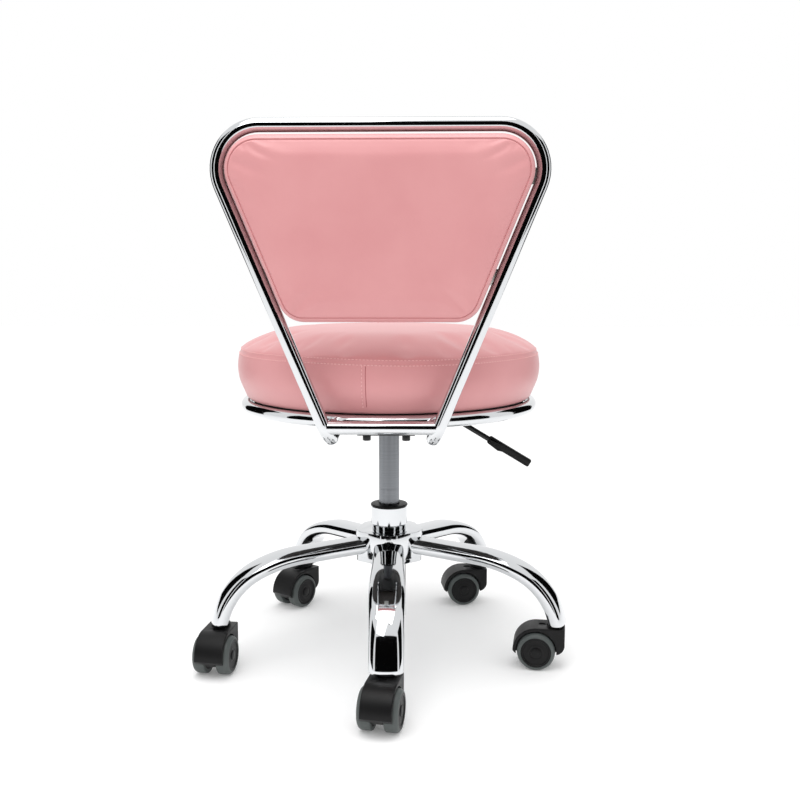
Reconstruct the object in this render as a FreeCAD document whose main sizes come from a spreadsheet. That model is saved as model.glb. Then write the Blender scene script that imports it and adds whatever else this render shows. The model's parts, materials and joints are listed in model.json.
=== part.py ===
"""Low-back pedicure stool: five-arm base on casters, gas spring, round seat and framed back.

Millimetres, +Z up, the front of the stool towards -Y. The origin is on the floor, on the axis
of the column. Every driving size is a cell of the spreadsheet "Sizes".
"""

import FreeCAD, Part
import math
import os

import Sketcher

Vector = FreeCAD.Vector
Rotation = FreeCAD.Rotation
Placement = FreeCAD.Placement
UP = Vector(0, 0, 1)
ORIGIN = Vector(0, 0, 0)

os.makedirs("parts", exist_ok=True)
doc = FreeCAD.newDocument("PedicureStool")

SIZES = [
    ("arm_count", 5, "base arms and casters"),
    ("base_turn", 1.5, "degrees the base is turned from straight back"),
    ("hub_flat", 43, "axis to the flat faces of the hub"),
    ("hub_radius", 46, "axis to the hub's rounded corners"),
    ("hub_foot_flat", 39, "the same, on the hub's stepped foot"),
    ("hub_bottom", 127, "height of the hub's underside"),
    ("hub_step", 7, "height of the stepped foot"),
    ("hub_top", 170, "height of the hub's top"),
    ("arm_root_radius", 30, "where an arm's centre line starts"),
    ("arm_root_height", 149.6, "height of the centre line there"),
    ("arm_slope", 4.5, "degrees that an arm falls from the hub"),
    ("arm_shoulder_bend", 170, "radius of the first, gentle bend"),
    ("arm_shoulder_angle", 25, "slope where the first bend ends"),
    ("arm_end_bend", 92, "radius of the second bend"),
    ("arm_end_angle", 78, "slope where the second bend ends"),
    ("arm_depth", 22, "thickness of an arm"),
    ("arm_root_width", 40, "width of an arm at the hub"),
    ("arm_shoulder_width", 46, "width at the shoulder"),
    ("arm_end_width", 42, "width at the caster"),
    ("arm_wall", 2, "wall of an arm"),
    ("arm_plug_height", 22, "solid length of the arm above the caster"),
    ("caster_radius", 234, "axis to the caster stems"),
    ("arm_bend_reach", 108, "how far both bends of an arm reach outwards"),
    ("arm_straight_end", "=caster_radius - arm_bend_reach", "radius where the straight part ends"),
    ("caster_mount", 59.5, "height of the arm ends"),
    ("collar_diameter", 24, "collar of the caster socket"),
    ("collar_thickness", 2.5, "thickness of the collar"),
    ("socket_diameter", 16, "plug of the socket, inside the arm"),
    ("socket_depth", 16, "length of that plug"),
    ("stem_diameter", 10, "caster stem"),
    ("stem_length", 31, "length of the stem"),
    ("stem_seat", 14, "length of the stem inside the hood"),
    ("swivel_gap", 0.8, "gap between the hood and the collar"),
    ("running_clearance", 0.05, "radial clearance of everything that turns or slides"),
    ("wheel_diameter", 50, "caster wheel over its tyre"),
    ("wheel_width", 17, "width of one wheel"),
    ("wheel_gap", 15, "between the two wheels of a caster"),
    ("rim_diameter", 40, "disc inside the tyre"),
    ("rim_dish", 1.2, "depth of the dished faces of the disc"),
    ("rim_hub_diameter", 13, "raised centre of the disc"),
    ("tyre_round", 3, "rounding of the tyre's edges"),
    ("axle_diameter", 6, "caster axle"),
    ("axle_end", 3, "how far the axle ends short of the outer face"),
    ("trail", 25, "stem axis to wheel axis"),
    ("hood_radius", 31, "outer radius of the hood over the wheels"),
    ("hood_width", 38, "width of the hood"),
    ("hood_neck", 12.3, "stem axis to the hood's front face"),
    ("hood_bottom", 13, "height of the hood's lower edge"),
    ("hood_wheel_gap", 2, "gap between the tyre and the hood"),
    ("hood_round", 1.5, "rounding of the hood's edges"),
    ("hood_dimple", 10, "diameter of the moulded dimple"),
    ("hood_dimple_depth", 1.2, "depth of the dimple"),
    ("tube_bottom", 44, "height of the column tube's foot"),
    ("tube_neck_top", 177, "height where the tube widens above the hub"),
    ("tube_neck_diameter", 46, "column tube inside the hub"),
    ("tube_diameter", 50, "column tube above the hub"),
    ("tube_top", 202, "height of the tube's mouth"),
    ("tube_wall", 2, "wall of the column tube"),
    ("tube_floor", 3, "thickness of the tube's floor"),
    ("bush_flange_diameter", 51, "flange of the guide bush"),
    ("bush_flange", 3.4, "thickness of the flange"),
    ("bush_length", 48, "length of the bush inside the tube"),
    ("cylinder_diameter", 28, "gas cylinder"),
    ("cylinder_wall", 2, "wall of the gas cylinder"),
    ("cylinder_bottom", 139, "height of the cylinder's foot"),
    ("cylinder_cap", 15, "solid lower end of the cylinder"),
    ("rod_diameter", 10, "piston rod"),
    ("rod_top", 217, "height of the piston rod's top"),
    ("piston_length", 12, "length of the piston"),
    ("bearing_diameter", 26, "thrust bearing"),
    ("bearing_plate", 2, "thickness of a bearing washer"),
    ("bearing_cage", 4, "thickness of the bearing's ball cage"),
    ("clip_diameter", 18, "retaining clip under the column"),
    ("clip_thickness", 1.5, "thickness of the clip"),
    ("plate_bottom", 334.8, "height of the seat plate's underside"),
    ("housing_depth", 20.8, "height of the mechanism housing"),
    ("housing_bottom", "=plate_bottom - housing_depth", "height of the housing's underside"),
    ("cylinder_proud", 0.5, "gas cylinder above the housing's underside"),
    ("cylinder_top", "=housing_bottom + cylinder_proud", "height of the cylinder's top"),
    ("housing_width", 74, "mechanism housing, across the stool"),
    ("housing_length", 180, "mechanism housing, front to back"),
    ("housing_wall", 2.5, "sheet of the housing"),
    ("boss_diameter", 42, "boss that holds the gas cylinder"),
    ("boss_drop", 8, "how far the boss stands below the housing"),
    ("plate_thickness", 3, "seat plate"),
    ("plate_side", 170, "side of the seat plate"),
    ("plate_bolt_across", 51, "housing bolts, across"),
    ("plate_bolt_along", 156, "housing bolts, front to back"),
    ("bolt_diameter", 6, "all seat bolts"),
    ("bolt_head_diameter", 10.5, "round bolt heads"),
    ("bolt_head", 8, "height of a bolt head"),
    ("frame_bolt_first", 40, "first frame bolt behind the axis"),
    ("frame_bolt_pitch", 40, "between the two bolts of a leg"),
    ("frame_bolt_head", 4, "height of a frame bolt's head"),
    ("nut_diameter", 9, "barrel of a tee nut"),
    ("nut_flange_diameter", 18, "flange of a tee nut"),
    ("nut_flange", 1.5, "thickness of that flange"),
    ("nut_depth", 12, "length of a tee nut"),
    ("board_diameter", 364, "plywood seat board"),
    ("board_thickness", 18, "seat board"),
    ("tube_size", 16, "diameter of the hoop and frame tube"),
    ("ring_gap", 1.2, "gap between the board and the hoop"),
    ("ring_radius", "=board_diameter / 2 + ring_gap + tube_size / 2", "centre line of the seat hoop"),
    ("ring_lift", 12.5, "the hoop's centre line above the seat plate's underside"),
    ("ring_height", "=plate_bottom + ring_lift", "height of the hoop's centre line"),
    ("tube_sheet", 1.5, "wall of the hoop and frame tube"),
    ("vent_diameter", 4, "plating vent in the hoop"),
    ("tab_width", 20, "tabs welded to the hoop"),
    ("tab_reach", 30, "how far a tab reaches inwards"),
    ("tab_thickness", 3, "tabs and lugs"),
    ("screw_diameter", 4, "wood screws"),
    ("screw_head_diameter", 8, "heads of the wood screws"),
    ("screw_head", 2, "height of those heads"),
    ("screw_length", 14, "length of a tab screw in the board"),
    ("foot_overhang", 8.5, "seat cushion past the board, at its foot"),
    ("cushion_foot_radius", "=board_diameter / 2 + foot_overhang", "seat cushion at the board"),
    ("cushion_overhang", 24, "seat cushion past the board, at its widest"),
    ("cushion_radius", "=board_diameter / 2 + cushion_overhang", "seat cushion at its widest"),
    ("cushion_widest", 36, "height of the widest place above the board"),
    ("seam_overhang", 18.5, "seat cushion past the board, at its top seam"),
    ("cushion_seam_radius", "=board_diameter / 2 + seam_overhang", "seat cushion at its top seam"),
    ("cushion_seam", 62, "height of the top seam above the board"),
    ("shoulder_inset", 17, "shoulder of the cushion inside the board's edge"),
    ("cushion_shoulder_radius", "=board_diameter / 2 - shoulder_inset", "where the shoulder meets the crown"),
    ("cushion_shoulder", 86.5, "height of that place above the board"),
    ("cushion_crown", 93, "height of the crown above the board"),
    ("leg_spread", 60, "axis to each leg of the back frame"),
    ("leg_front", 20, "front end of the legs, behind the axis"),
    ("weld_bite", 0.2, "how far two welded tubes run into each other"),
    ("frame_distance", "=ring_radius + tube_size - weld_bite", "axis to the foot of the back frame"),
    ("frame_recline", 4.3, "degrees that the back leans"),
    ("frame_flare", 21.9, "degrees that the sides spread"),
    ("frame_rise", 354.2, "top rail above the legs, between centre lines"),
    ("frame_top", "=plate_bottom - tube_size / 2 + frame_rise", "height of the top rail's centre line"),
    ("elbow_radius", 24, "bend at the foot of the frame"),
    ("corner_radius", 48, "bends at the frame's top corners"),
    ("bar_lift", 8.2, "cross bar above the seat plate's underside"),
    ("bar_height", "=plate_bottom + bar_lift", "height of the cross bar"),
    ("back_gap", 2.8, "between the back cushion and the frame"),
    ("back_clear", 213.2, "back cushion's foot below the top rail"),
    ("back_bottom", "=frame_rise - back_clear", "back cushion's foot above the legs"),
    ("back_corner", 30, "corner radius at the foot of the cushion"),
    ("back_board_thickness", 12, "plywood in the back"),
    ("back_board_inset", 6, "board inside the cushion's outline"),
    ("back_pad_thickness", 34, "front pad of the back"),
    ("back_panel_thickness", 20, "rear padded panel"),
    ("pad_round", 9, "rounding of the pads' outer edges"),
    ("lug_reach", 26, "lugs, from the tube's centre line inwards"),
    ("lug_height", 18, "height of a lug"),
    ("lug_low_drop", 164.2, "lower lugs below the top rail"),
    ("lug_high_drop", 54.2, "upper lugs below the top rail"),
    ("lug_low", "=frame_rise - lug_low_drop", "lower lugs above the legs"),
    ("lug_high", "=frame_rise - lug_high_drop", "upper lugs above the legs"),
    ("lever_diameter", 7, "lever rod"),
    ("lever_lift", 8, "lever's pivot above the housing's underside"),
    ("lever_height", "=housing_bottom + lever_lift", "height of the lever's pivot"),
    ("lever_pivot", 30, "axis to the lever's pivot"),
    ("lever_inner", 3, "lever past the axis"),
    ("lever_bend", 92, "axis to the bend of the lever"),
    ("lever_drop", 31, "degrees that the lever falls after its bend"),
    ("lever_bend_radius", 15, "bend of the lever rod"),
    ("lever_reach", 193, "axis to the end of the handle"),
    ("handle_length", 66, "length of the lever's handle"),
    ("handle_depth", 15, "height of the handle at its grip"),
    ("handle_width", 9, "thickness of the handle"),
    ("pin_diameter", 4, "lever pin"),
    ("ear_gap", 9, "between the two ears that hold the lever pin"),
    ("release_diameter", 6, "release pin of the gas spring"),
    ("release_length", 12, "length of the release pin"),
    ("lever_clearance", 0.2, "between the lever and the release pin"),
    ("arm_section_fullness", 0.78, "roundness of an arm's section; 1 is an ellipse"),
]

sheet = doc.addObject("Spreadsheet::Sheet", "Sizes")
for row, (alias, number, note) in enumerate(SIZES, start=1):
    sheet.set("A%d" % row, alias)
    sheet.set("B%d" % row, str(number))
    sheet.setAlias("B%d" % row, alias)
    sheet.set("C%d" % row, note)
doc.recompute()

nodes = []


def size(alias):
    """The number in the sheet's cell of that name."""
    return float(sheet.get(alias))


def bind(thing, expressions):
    """Tie an object's properties to the sheet."""
    for name, expression in expressions.items():
        thing.setExpression(name, expression)


def node(thing, label):
    """Name an object as a sub-part of its own."""
    thing.Label = label
    nodes.append(thing)
    return thing


def shaped(label, shape, place=None):
    """A sub-part made with Part's own functions, in its own place."""
    feature = doc.addObject("Part::Feature", label)
    feature.Shape = shape
    feature.Placement = place or Placement()
    return node(feature, label)


def cylinder(name, radius, height, low, place=None):
    """An upright cylinder; radius, height and low end are expressions on the sheet."""
    solid = doc.addObject("Part::Cylinder", name)
    if place:
        solid.Placement = place
    bind(solid, {"Radius": radius, "Height": height, "Placement.Base.z": low})
    return solid


def box(name, length, width, height, low):
    """An upright box, centred on the column axis."""
    solid = doc.addObject("Part::Box", name)
    centre = {"Placement.Base.x": "-(%s) / 2" % length, "Placement.Base.y": "-(%s) / 2" % width}
    bind(solid, {"Length": length, "Width": width, "Height": height, "Placement.Base.z": low})
    bind(solid, centre)
    return solid


def cut(name, base, tools):
    """Base less the tools, each taken away whole."""
    tool = tools[0]
    if len(tools) > 1:
        tool = doc.addObject("Part::MultiFuse", name + "_tools")
        tool.Shapes = tools
    result = doc.addObject("Part::Cut", name)
    result.Base = base
    result.Tool = tool
    return result


def fuse(name, solids):
    """One solid out of several."""
    result = doc.addObject("Part::MultiFuse", name)
    result.Shapes = solids
    return result


def group(name, solids):
    """Several separate solids in one sub-part."""
    result = doc.addObject("Part::Compound", name)
    result.Links = solids
    return result


def origin_plane(body, role):
    """The body's own origin plane with that role."""
    return next(item for item in body.Origin.OriginFeatures if item.Role == role)


def turned(label, profile, place=None, rounded=None):
    """A body turned about Z from (radius, height) corners, each an expression or zero."""
    body = doc.addObject("PartDesign::Body", label)
    sketch = body.newObject("Sketcher::SketchObject", label + "_profile")
    sketch.AttachmentSupport = [(origin_plane(body, "XZ_Plane"), "")]
    sketch.MapMode = "FlatFace"
    guess = [Vector(evaluate(radius), evaluate(height), 0) for radius, height in profile]
    for i, start in enumerate(guess):
        sketch.addGeometry(Part.LineSegment(start, guess[(i + 1) % len(guess)]), False)
    for i in range(len(guess)):
        after = (i + 1) % len(guess)
        sketch.addConstraint(Sketcher.Constraint("Coincident", i, 2, after, 1))
    for i, (radius, height) in enumerate(profile):
        if radius == 0:
            sketch.addConstraint(Sketcher.Constraint("PointOnObject", i, 1, -2))
        else:
            across = sketch.addConstraint(Sketcher.Constraint("DistanceX", -1, 1, i, 1, guess[i].x))
            sketch.setExpression("Constraints[%d]" % across, radius)
        if height == 0:
            sketch.addConstraint(Sketcher.Constraint("PointOnObject", i, 1, -1))
        else:
            along = sketch.addConstraint(Sketcher.Constraint("DistanceY", -1, 1, i, 1, guess[i].y))
            sketch.setExpression("Constraints[%d]" % along, height)
    turn = body.newObject("PartDesign::Revolution", label + "_turn")
    turn.Profile = sketch
    turn.ReferenceAxis = (sketch, ["V_Axis"])
    turn.Angle = 360
    body.Tip = turn
    if rounded:
        doc.recompute()
        edge_radius, amount = rounded
        rim = size(edge_radius) / 2
        names = []
        for number, edge in enumerate(turn.Shape.Edges, start=1):
            if hasattr(edge.Curve, "Radius") and abs(edge.Curve.Radius - rim) < 0.01:
                names.append("Edge%d" % number)
        fillet = body.newObject("PartDesign::Fillet", label + "_round")
        fillet.Base = (turn, names)
        fillet.setExpression("Radius", "Sizes." + amount)
        body.Tip = fillet
    if place:
        body.Placement = place
    return node(body, label)


def evaluate(expression):
    """A sketch point's first place, worked out from its expression."""
    if expression == 0:
        return 0.0
    found = sheet.evalExpression(expression)
    return float(getattr(found, "Value", found))


def half(alias):
    """Half of a size, as an expression."""
    return "Sizes.%s / 2" % alias


def bore(alias):
    """The radius of a running hole for a shaft, as an expression."""
    return "Sizes.%s / 2 + Sizes.running_clearance" % alias


def path_through(points, radii):
    """A wire of straight runs joined by tangent arcs, one radius for each inner point."""
    edges = []
    last = points[0]
    for before, corner, after, radius in zip(points, points[1:], points[2:], radii):
        back = (before - corner).normalize()
        on = (after - corner).normalize()
        opening = back.getAngle(on)
        tangent = radius / math.tan(opening / 2)
        start = corner + back * tangent
        end = corner + on * tangent
        inward = (back + on).normalize()
        middle = corner + inward * (radius / math.sin(opening / 2) - radius)
        edges.append(Part.makeLine(last, start))
        edges.append(Part.Arc(start, middle, end).toShape())
        last = end
    edges.append(Part.makeLine(last, points[-1]))
    return Part.Wire(edges)


def rod_along(wire, radius):
    """A round bar along a wire."""
    start = wire.Edges[0]
    tangent = start.tangentAt(start.FirstParameter)
    circle = Part.Wire(Part.makeCircle(radius, start.valueAt(start.FirstParameter), tangent))
    return wire.makePipeShell([circle], True, False)


# Base: the hub, five curved arms and the sockets that the casters plug into.
ARM_ANGLES = [90 + size("base_turn") + k * 360 / size("arm_count") for k in range(int(size("arm_count")))]


def hub_prism(name, flat, height, low):
    """An upright prism with one flat between each pair of arms."""
    prism = doc.addObject("Part::Prism", name)
    prism.Polygon = int(size("arm_count"))
    prism.Placement = Placement(ORIGIN, Rotation(UP, ARM_ANGLES[0]))
    reach = "Sizes.%s / cos(180 deg / Sizes.arm_count)" % flat
    bind(prism, {"Circumradius": reach, "Height": height, "Placement.Base.z": low})
    return prism


hub_low = "Sizes.hub_bottom + Sizes.hub_step"
hub_body = hub_prism("hub_body", "hub_flat", "Sizes.hub_top - (%s)" % hub_low, hub_low)
hub_foot = hub_prism("hub_foot", "hub_foot_flat", "Sizes.hub_step", "Sizes.hub_bottom")
hub_round = cylinder("hub_round", "Sizes.hub_radius", "Sizes.hub_top", "0")
hub_blank = fuse("hub_blank", [hub_body, hub_foot])
hub_whole = doc.addObject("Part::Common", "hub_whole")
hub_whole.Base = hub_blank
hub_whole.Tool = hub_round
hub_bore = cylinder("hub_bore", half("tube_neck_diameter"), "Sizes.hub_top", "0")
base_hub = node(cut("base_hub", hub_whole, [hub_bore]), "base_hub")
doc.recompute()


def arm_points():
    """The arm's centre line as (radius, height, slope) stations from the hub to the caster."""
    slope = math.radians(size("arm_slope"))
    radius = size("arm_root_radius")
    height = size("arm_root_height")
    run = size("arm_straight_end") - radius
    stations = [(radius, height, slope), (radius + run / 2, height - run / 2 * math.tan(slope), slope)]
    radius += run
    height -= run * math.tan(slope)
    stations.append((radius, height, slope))
    for bend, last, steps in (("arm_shoulder_bend", "arm_shoulder_angle", 3),
                              ("arm_end_bend", "arm_end_angle", 5)):
        first = slope
        last_slope = math.radians(size(last))
        for step in range(1, steps + 1):
            angle = first + (last_slope - first) * step / steps
            across = radius + size(bend) * (math.sin(angle) - math.sin(first))
            down = height - size(bend) * (math.cos(first) - math.cos(angle))
            stations.append((across, down, angle))
        radius, height, slope = stations[-1]
    spare = size("arm_depth") / 2
    stations.append((radius + spare * math.cos(slope), height - spare * math.sin(slope), slope))
    return stations


def arm_width(radius):
    """Width of the arm at a radius: widest at the shoulder."""
    root, shoulder, end = size("arm_root_width"), size("arm_shoulder_width"), size("arm_end_width")
    peak = (size("arm_straight_end") + size("caster_radius")) / 2
    if radius < peak:
        share = (radius - size("arm_root_radius")) / (peak - size("arm_root_radius"))
        return root + (shoulder - root) * share
    share = min(1.0, (radius - peak) / (size("caster_radius") - peak))
    return shoulder + (end - shoulder) * share


def oval(station, wall):
    """One flattened oval section of an arm, square to its centre line."""
    radius, height, slope = station
    across = arm_width(radius) / 2 - wall
    deep = size("arm_depth") / 2 - wall
    normal = Vector(math.sin(slope), 0, math.cos(slope))
    corners = 16
    fullness = size("arm_section_fullness")
    points = []
    for i in range(corners):
        angle = 2 * math.pi * i / corners
        side = math.copysign(abs(math.cos(angle)) ** fullness, math.cos(angle))
        lift = math.copysign(abs(math.sin(angle)) ** fullness, math.sin(angle))
        points.append(Vector(radius, 0, height) + Vector(0, across * side, 0) + normal * (deep * lift))
    curve = Part.BSplineCurve()
    curve.interpolate(points, PeriodicFlag=True)
    return Part.Wire(curve.toShape())


def arm_shape():
    """A hollow arm along +X, cut square at the caster and to the hub's flats at its root."""
    stations = arm_points()
    outer = Part.makeLoft([oval(station, 0) for station in stations], True, False)
    inner = Part.makeLoft([oval(station, size("arm_wall")) for station in stations], True, False)
    reach = 2 * size("caster_radius")
    below_plug = Part.makeBox(reach, reach, reach)
    plug_top = size("caster_mount") + size("arm_plug_height")
    below_plug.translate(Vector(0, -reach / 2, plug_top - reach))
    shell = outer.cut(inner.cut(below_plug))
    below_mount = below_plug.copy()
    below_mount.translate(Vector(0, 0, -size("arm_plug_height")))
    socket = Part.makeCylinder(size("socket_diameter") / 2, size("socket_depth"),
                               Vector(size("caster_radius"), 0, size("caster_mount")))
    return shell.cut(below_mount).cut(socket)


hub_solid = Part.makeCylinder(size("tube_diameter") / 2, size("hub_top")).fuse(hub_whole.Shape)
arm_master = arm_shape()
for index, angle in enumerate(ARM_ANGLES, start=1):
    arm = arm_master.copy()
    arm.rotate(ORIGIN, UP, angle)
    arm = arm.cut(hub_solid)
    shaped("base_arm_%d" % index, max(arm.Solids, key=lambda solid: solid.Volume))


def stem_place(angle):
    """The foot of a caster's stem axis, on the floor."""
    return Rotation(UP, angle).multVec(Vector(size("caster_radius"), 0, 0))


sockets = []
for index, angle in enumerate(ARM_ANGLES, start=1):
    foot = stem_place(angle)
    mount = Placement(foot, Rotation())
    collar_low = "Sizes.caster_mount - Sizes.collar_thickness"
    collar = cylinder("collar_%d" % index, half("collar_diameter"), "Sizes.collar_thickness",
                      collar_low, mount)
    plug = cylinder("plug_%d" % index, half("socket_diameter"), "Sizes.socket_depth",
                    "Sizes.caster_mount", mount)
    hole = cylinder("socket_hole_%d" % index, bore("stem_diameter"), "Sizes.caster_mount * 2", "0", mount)
    whole = fuse("socket_whole_%d" % index, [collar, plug])
    sockets.append(cut("socket_%d" % index, whole, [hole]))
node(group("caster_sockets", sockets), "caster_sockets")

# Column: the tube stands in the hub, and a plastic bush guides the gas cylinder in its mouth.
neck = half("tube_neck_diameter")
wide = half("tube_diameter")
neck_in = neck + " - Sizes.tube_wall"
floor_top = "Sizes.tube_bottom + Sizes.tube_floor"
turned("column_tube", [
    (bore("rod_diameter"), "Sizes.tube_bottom"),
    (neck, "Sizes.tube_bottom"),
    (neck, "Sizes.tube_neck_top"),
    (wide, "Sizes.tube_neck_top"),
    (wide, "Sizes.tube_top"),
    (neck_in, "Sizes.tube_top"),
    (neck_in, floor_top),
    (bore("rod_diameter"), floor_top),
])
flange_top = "Sizes.tube_top + Sizes.bush_flange"
flange_edge = half("bush_flange_diameter")
turned("column_bush", [
    (bore("cylinder_diameter"), "Sizes.tube_top - Sizes.bush_length"),
    (neck_in, "Sizes.tube_top - Sizes.bush_length"),
    (neck_in, "Sizes.tube_top"),
    (flange_edge, "Sizes.tube_top"),
    (flange_edge, "Sizes.tube_top + Sizes.bush_flange * 0.6"),
    (flange_edge + " - Sizes.bush_flange * 0.6", flange_top),
    (bore("cylinder_diameter"), flange_top),
])

# Gas spring: the rod is held at the tube's floor, and the cylinder slides on it with the seat.
rod = half("rod_diameter")
piston_edge = "Sizes.cylinder_diameter / 2 - Sizes.cylinder_wall - Sizes.running_clearance"
turned("piston_rod", [
    (0, "Sizes.tube_bottom - Sizes.clip_thickness * 2"),
    (rod, "Sizes.tube_bottom - Sizes.clip_thickness * 2"),
    (rod, "Sizes.rod_top - Sizes.piston_length"),
    (piston_edge, "Sizes.rod_top - Sizes.piston_length"),
    (piston_edge, "Sizes.rod_top"),
    (0, "Sizes.rod_top"),
])
stack = []
height = floor_top
for name, thick, across in (("lower_race", "bearing_plate", "bearing_diameter"),
                            ("ball_cage", "bearing_cage", "bearing_diameter"),
                            ("upper_race", "bearing_plate", "bearing_diameter"),
                            ("retaining_clip", "clip_thickness", "clip_diameter")):
    low = height if name != "retaining_clip" else "Sizes.tube_bottom - Sizes.clip_thickness"
    disc = cylinder(name + "_disc", half(across), "Sizes." + thick, low)
    eye = cylinder(name + "_eye", rod, "Sizes." + thick, low)
    stack.append(cut(name, disc, [eye]))
    height = height + " + Sizes." + thick
node(group("bearing_stack", stack), "bearing_stack")
cylinder_edge = half("cylinder_diameter")
cavity = cylinder_edge + " - Sizes.cylinder_wall"
cavity_low = "Sizes.cylinder_bottom + Sizes.cylinder_cap"
pin_foot = "Sizes.lever_height - Sizes.lever_diameter / 2 - Sizes.lever_clearance - Sizes.release_length"
pin_seat = pin_foot + " - 2 * Sizes.cylinder_wall"
turned("gas_cylinder", [
    (bore("rod_diameter"), "Sizes.cylinder_bottom"),
    (cylinder_edge, "Sizes.cylinder_bottom"),
    (cylinder_edge, "Sizes.cylinder_top"),
    (bore("release_diameter"), "Sizes.cylinder_top"),
    (bore("release_diameter"), pin_seat),
    (0, pin_seat),
    (0, pin_seat + " - 2 * Sizes.cylinder_wall"),
    (cavity, pin_seat + " - 2 * Sizes.cylinder_wall"),
    (cavity, cavity_low),
    (bore("rod_diameter"), cavity_low),
])
release = cylinder("release_pin", half("release_diameter"), "Sizes.release_length", pin_foot)
node(release, "release_pin")

# Under the seat: the mechanism housing is bolted through the steel plate into the plywood board.
plate_top = "Sizes.plate_bottom + Sizes.plate_thickness"
board_top = plate_top + " + Sizes.board_thickness"
bolt_spots = []
for side in (-1, 1):
    for end in (-1, 1):
        bolt_spots.append((side * size("plate_bolt_across") / 2, end * size("plate_bolt_along") / 2, True))
    for count in range(2):
        along = size("frame_bolt_first") + count * size("frame_bolt_pitch")
        bolt_spots.append((side * size("leg_spread"), along, False))
shanks = []
bolts = []
nuts = []
nut_tools = []
for index, (across, along, long_bolt) in enumerate(bolt_spots, start=1):
    spot = Placement(Vector(across, along, 0), Rotation())
    under = "Sizes.housing_bottom" if long_bolt else "Sizes.plate_bottom - Sizes.tube_size"
    head_height = "Sizes.bolt_head" if long_bolt else "Sizes.frame_bolt_head"
    top = board_top + " - Sizes.nut_flange"
    shank = cylinder("shank_%d" % index, half("bolt_diameter"), "%s - (%s)" % (top, under), under, spot)
    head = cylinder("head_%d" % index, half("bolt_head_diameter"), head_height,
                    "%s - %s" % (under, head_height), spot)
    shanks.append(shank)
    bolts.append(fuse("bolt_%d" % index, [shank, head]))
    barrel = cylinder("barrel_%d" % index, half("nut_diameter"), "Sizes.nut_depth",
                      board_top + " - Sizes.nut_depth", spot)
    flange = cylinder("flange_%d" % index, half("nut_flange_diameter"), "Sizes.nut_flange",
                      board_top + " - Sizes.nut_flange", spot)
    tee = fuse("tee_%d" % index, [barrel, flange])
    thread = cylinder("thread_%d" % index, half("bolt_diameter"), "Sizes.nut_depth * 2",
                      board_top + " - Sizes.nut_depth", spot)
    nut_tools.append(tee)
    nuts.append(cut("nut_%d" % index, tee, [thread]))
node(group("seat_bolts", bolts), "seat_bolts")
node(group("tee_nuts", nuts), "tee_nuts")

plate_blank = box("plate_blank", "Sizes.plate_side", "Sizes.plate_side", "Sizes.plate_thickness",
                  "Sizes.plate_bottom")
node(cut("seat_plate", plate_blank, shanks), "seat_plate")

tab_spots = [90, 210, 330]
tab_screws = []
for index, angle in enumerate(tab_spots, start=1):
    middle = size("ring_radius") - size("tab_reach") + size("screw_head_diameter")
    spot = Placement(Rotation(UP, angle).multVec(Vector(middle, 0, 0)), Rotation())
    stem = cylinder("tab_screw_stem_%d" % index, half("screw_diameter"),
                    "Sizes.tab_thickness + Sizes.screw_length", "Sizes.plate_bottom", spot)
    head = cylinder("tab_screw_head_%d" % index, half("screw_head_diameter"), "Sizes.screw_head",
                    "Sizes.plate_bottom - Sizes.screw_head", spot)
    tab_screws.append(fuse("tab_screw_%d" % index, [stem, head]))
board_blank = cylinder("board_blank", half("board_diameter"), "Sizes.board_thickness", plate_top)
node(cut("seat_board", board_blank, shanks + nut_tools + tab_screws), "seat_board")

tray = box("tray", "Sizes.housing_width", "Sizes.housing_length",
           "Sizes.plate_bottom - Sizes.housing_bottom", "Sizes.housing_bottom")
tray_room = box("tray_room", "Sizes.housing_width - 2 * Sizes.housing_wall",
                "Sizes.housing_length - 2 * Sizes.housing_wall", "Sizes.plate_bottom",
                "Sizes.housing_bottom + Sizes.housing_wall")
tray_shell = cut("tray_shell", tray, [tray_room])
boss = cylinder("boss", half("boss_diameter"), "Sizes.boss_drop + Sizes.housing_wall / 2",
                "Sizes.housing_bottom - Sizes.boss_drop")
ears = []
for side in (-1, 1):
    ear = doc.addObject("Part::Box", "ear_%s" % ("left" if side < 0 else "right"))
    inner = "Sizes.ear_gap / 2" if side > 0 else "-Sizes.ear_gap / 2 - Sizes.housing_wall"
    bind(ear, {"Length": "3 * Sizes.pin_diameter", "Width": "Sizes.housing_wall"})
    bind(ear, {"Height": "Sizes.lever_height + Sizes.pin_diameter - Sizes.housing_bottom"})
    bind(ear, {"Placement.Base.x": "-Sizes.lever_pivot - Sizes.pin_diameter * 1.5"})
    bind(ear, {"Placement.Base.y": inner, "Placement.Base.z": "Sizes.housing_bottom"})
    ears.append(ear)
pin_turn = Rotation(Vector(1, 0, 0), 90)
pin_span = "Sizes.ear_gap + 2 * Sizes.housing_wall"
lever_pin = doc.addObject("Part::Cylinder", "lever_pin")
lever_pin.Placement = Placement(ORIGIN, pin_turn)
bind(lever_pin, {"Radius": half("pin_diameter"), "Height": pin_span})
bind(lever_pin, {"Placement.Base.x": "-Sizes.lever_pivot", "Placement.Base.z": "Sizes.lever_height"})
bind(lever_pin, {"Placement.Base.y": "(%s) / 2" % pin_span})
node(lever_pin, "lever_pin")
slot = doc.addObject("Part::Box", "lever_slot")
bind(slot, {"Length": "Sizes.housing_width / 2 - Sizes.lever_pivot + Sizes.pin_diameter"})
bind(slot, {"Width": "Sizes.ear_gap", "Height": "Sizes.lever_diameter + 2 * Sizes.housing_wall"})
bind(slot, {"Placement.Base.x": "-Sizes.housing_width / 2 - Sizes.pin_diameter"})
bind(slot, {"Placement.Base.y": "-Sizes.ear_gap / 2"})
bind(slot, {"Placement.Base.z": "Sizes.lever_height - Sizes.lever_diameter / 2 - Sizes.housing_wall / 2"})
column_hole = cylinder("column_hole", half("cylinder_diameter"), "Sizes.housing_bottom", "Sizes.boss_drop")
housing_whole = fuse("housing_whole", [tray_shell, boss] + ears)
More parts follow.
